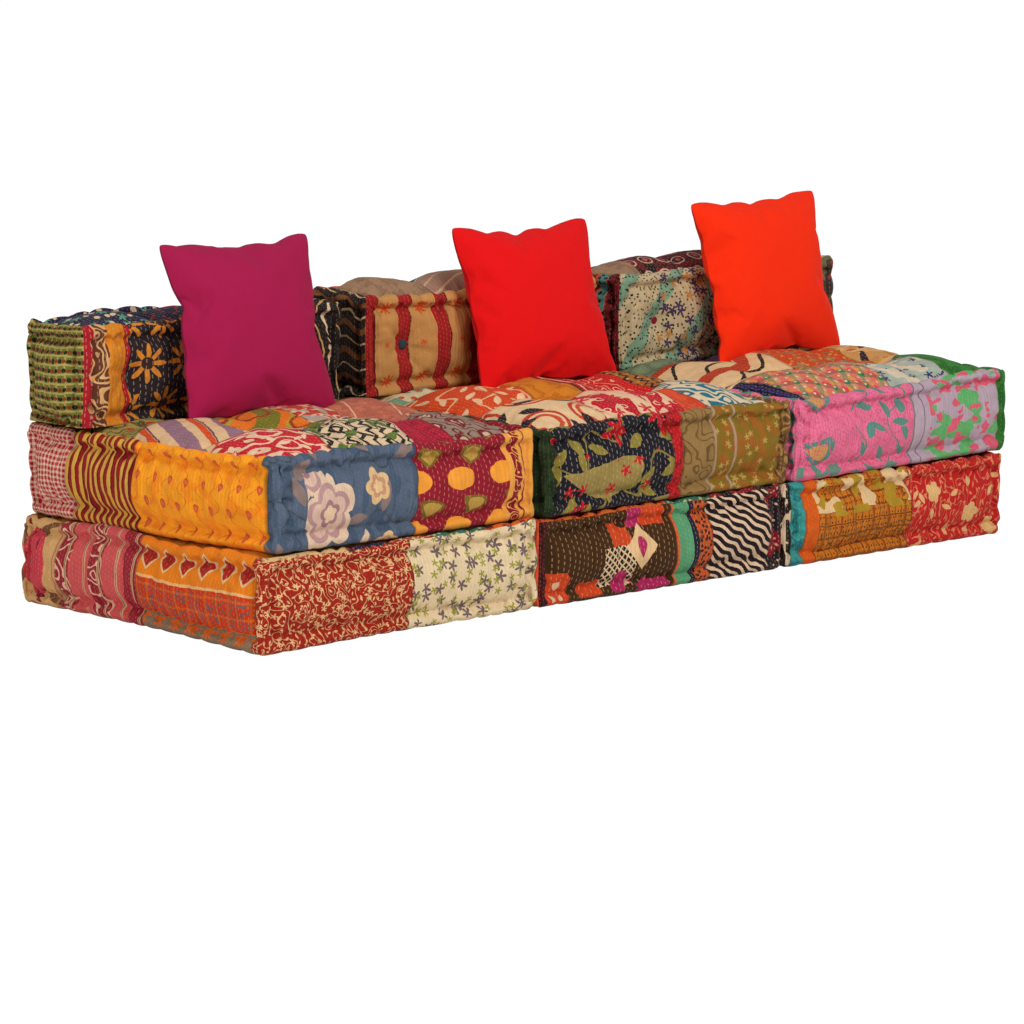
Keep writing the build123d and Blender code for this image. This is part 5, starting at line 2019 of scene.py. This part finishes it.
    def backs(self) -> list[BoxCushion]:
        """The three back cushions.

        Returns:
            The left, middle and right one.
        """
        rows = {
            "left": {
                FRONT: one_row((0.62, "figured_bands"), (1.0, "black_lines")),
                LEFT: evenly("green_net"),
                RIGHT: evenly("black_lines"),
                REAR: evenly("tan_flower_stripe", "navy_teal"),
                TOP: evenly("navy_teal", "rim_navy", "black_lines")},
            "middle": {
                FRONT: evenly("tan_flower_stripe"),
                LEFT: evenly("black_brown"),
                RIGHT: evenly("maroon_teal"),
                REAR: evenly("sea_waves", "coral"),
                TOP: evenly("beige_plain", "taupe_teal", "rim_teal")},
            "right": {
                FRONT: one_row((0.45, "sage_speck"), (1.0, "shadow_floral")),
                LEFT: evenly("maroon_teal"),
                RIGHT: evenly("sage_speck"),
                REAR: evenly("maroon_dots", "figured_bands"),
                TOP: one_row((0.14, "beige_plain"), (0.55, "dark_figure"), (1.0, "tan_orange"))},
        }
        warps = {
            "left": (Warp((-0.31, -0.01, 0.1), 0.25, (0.0, 0.0, -0.012)),),
            "middle": (
                Warp((-0.3, 0.05, 0.1), 0.1, (0.0, 0.0, 0.016)),
                Warp((-0.17, 0.0, 0.1), 0.08, (0.0, 0.0, -0.006)),
                Warp((-0.33, 0.1, 0.0), 0.15, (0.009, 0.0, 0.0))),
            "right": (
                Warp((-0.25, 0.0, 0.1), 0.08, (0.0, 0.0, -0.005)),
                Warp((-0.06, 0.03, 0.1), 0.12, (0.0, 0.0, 0.011))),
        }
        drooped = (
            Warp((-0.33, -0.02, -0.1), 0.13, (0.0, 0.0, -0.014)),
            Warp((0.33, -0.02, -0.1), 0.11, (0.0, 0.0, -0.01)))
        buttons = ("button_olive", "button_teal", "button_red")
        crowns = (-0.008, 0.013, 0.01)
        left_ends = (0.018, -0.006, 0.018)
        lengths = (0.662, 0.662, 0.694)
        starts = (-0.0189, 0.0, 0.0259)
        made = []
        for number, name in enumerate(MODULES):
            left = (number - 1) * self.pitch + self.shift[0] - self.length / 2 + starts[number]
            rear = self.shift[1] + self.depth / 2
            puffs = {FRONT: 0.008, REAR: 0.008, LEFT: left_ends[number], RIGHT: 0.01}
            made.append(BoxCushion(
                f"{name}_back", (lengths[number], 0.2, 0.196 + self.sink),
                (left + lengths[number] / 2, rear - 0.1, self.back_floor - self.sink), 0.0,
                "patchwork_back", rows[name] | UNDERSIDE, {}, puffs, crowns[number], crown_run=0.06, hills=3,
                tuft_sides=(FRONT, REAR), tufts=((-0.325, 0.0), (0.0, 0.0), (0.325, 0.0)),
                tuft_depth=0.03, tuft_reach=0.085, valley=0.004, under_depth=0.03,
                buttons=buttons[number:] + buttons[:number], warps=drooped + warps[name], seed=31 + number))
        return made

    def pillows(self) -> list[ScatterPillow]:
        """The three scatter pillows: the magenta, red and orange one."""
        return [
            ScatterPillow("magenta", 17.0, -4.0, -0.5, 41, (0.358, 0.378), (0.008, -0.018, -0.011)),
            ScatterPillow("red", 16.5, -1.0, 0.5, 47, (0.386, 0.36), (0.016, -0.004, -0.013)),
            ScatterPillow("orange", 13.0, 1.0, 2.0, 53, (0.406, 0.374), (0.026, -0.01, -0.004))]

    def build(self, dyer: Dyer) -> list[bpy.types.Object]:
        """Builds every piece.

        The cushions of one kind and size share one stuffing.

        Args:
            dyer: gives the materials.

        Returns:
            The visible pieces.
        """
        pieces = []
        for cushions in (self.bases(), self.seats(), self.backs()):
            stuffed: dict[tuple[float, float, float], np.ndarray] = {}
            for cushion in cushions:
                if cushion.size not in stuffed:
                    stuffed[cushion.size] = cushion.moves(Stuffing())
                pieces.append(cushion.cover(dyer, stuffed.get(cushion.size)))
                pieces.append(cushion.add_buttons(dyer))
                pieces.append(cushion.add_filling(dyer))
                cushion.dress_ties(dyer)
        for pillow in self.pillows():
            pieces.append(pillow.build(dyer))
        return pieces


def main() -> None:
    logging.basicConfig(level=logging.INFO, format="%(message)s")
    Studio().build()
    for piece in PoufSofa().build(Dyer()):
        LOG.info("%s: %d faces", piece.name, len(piece.data.polygons))


if __name__ == "__main__":
    main()
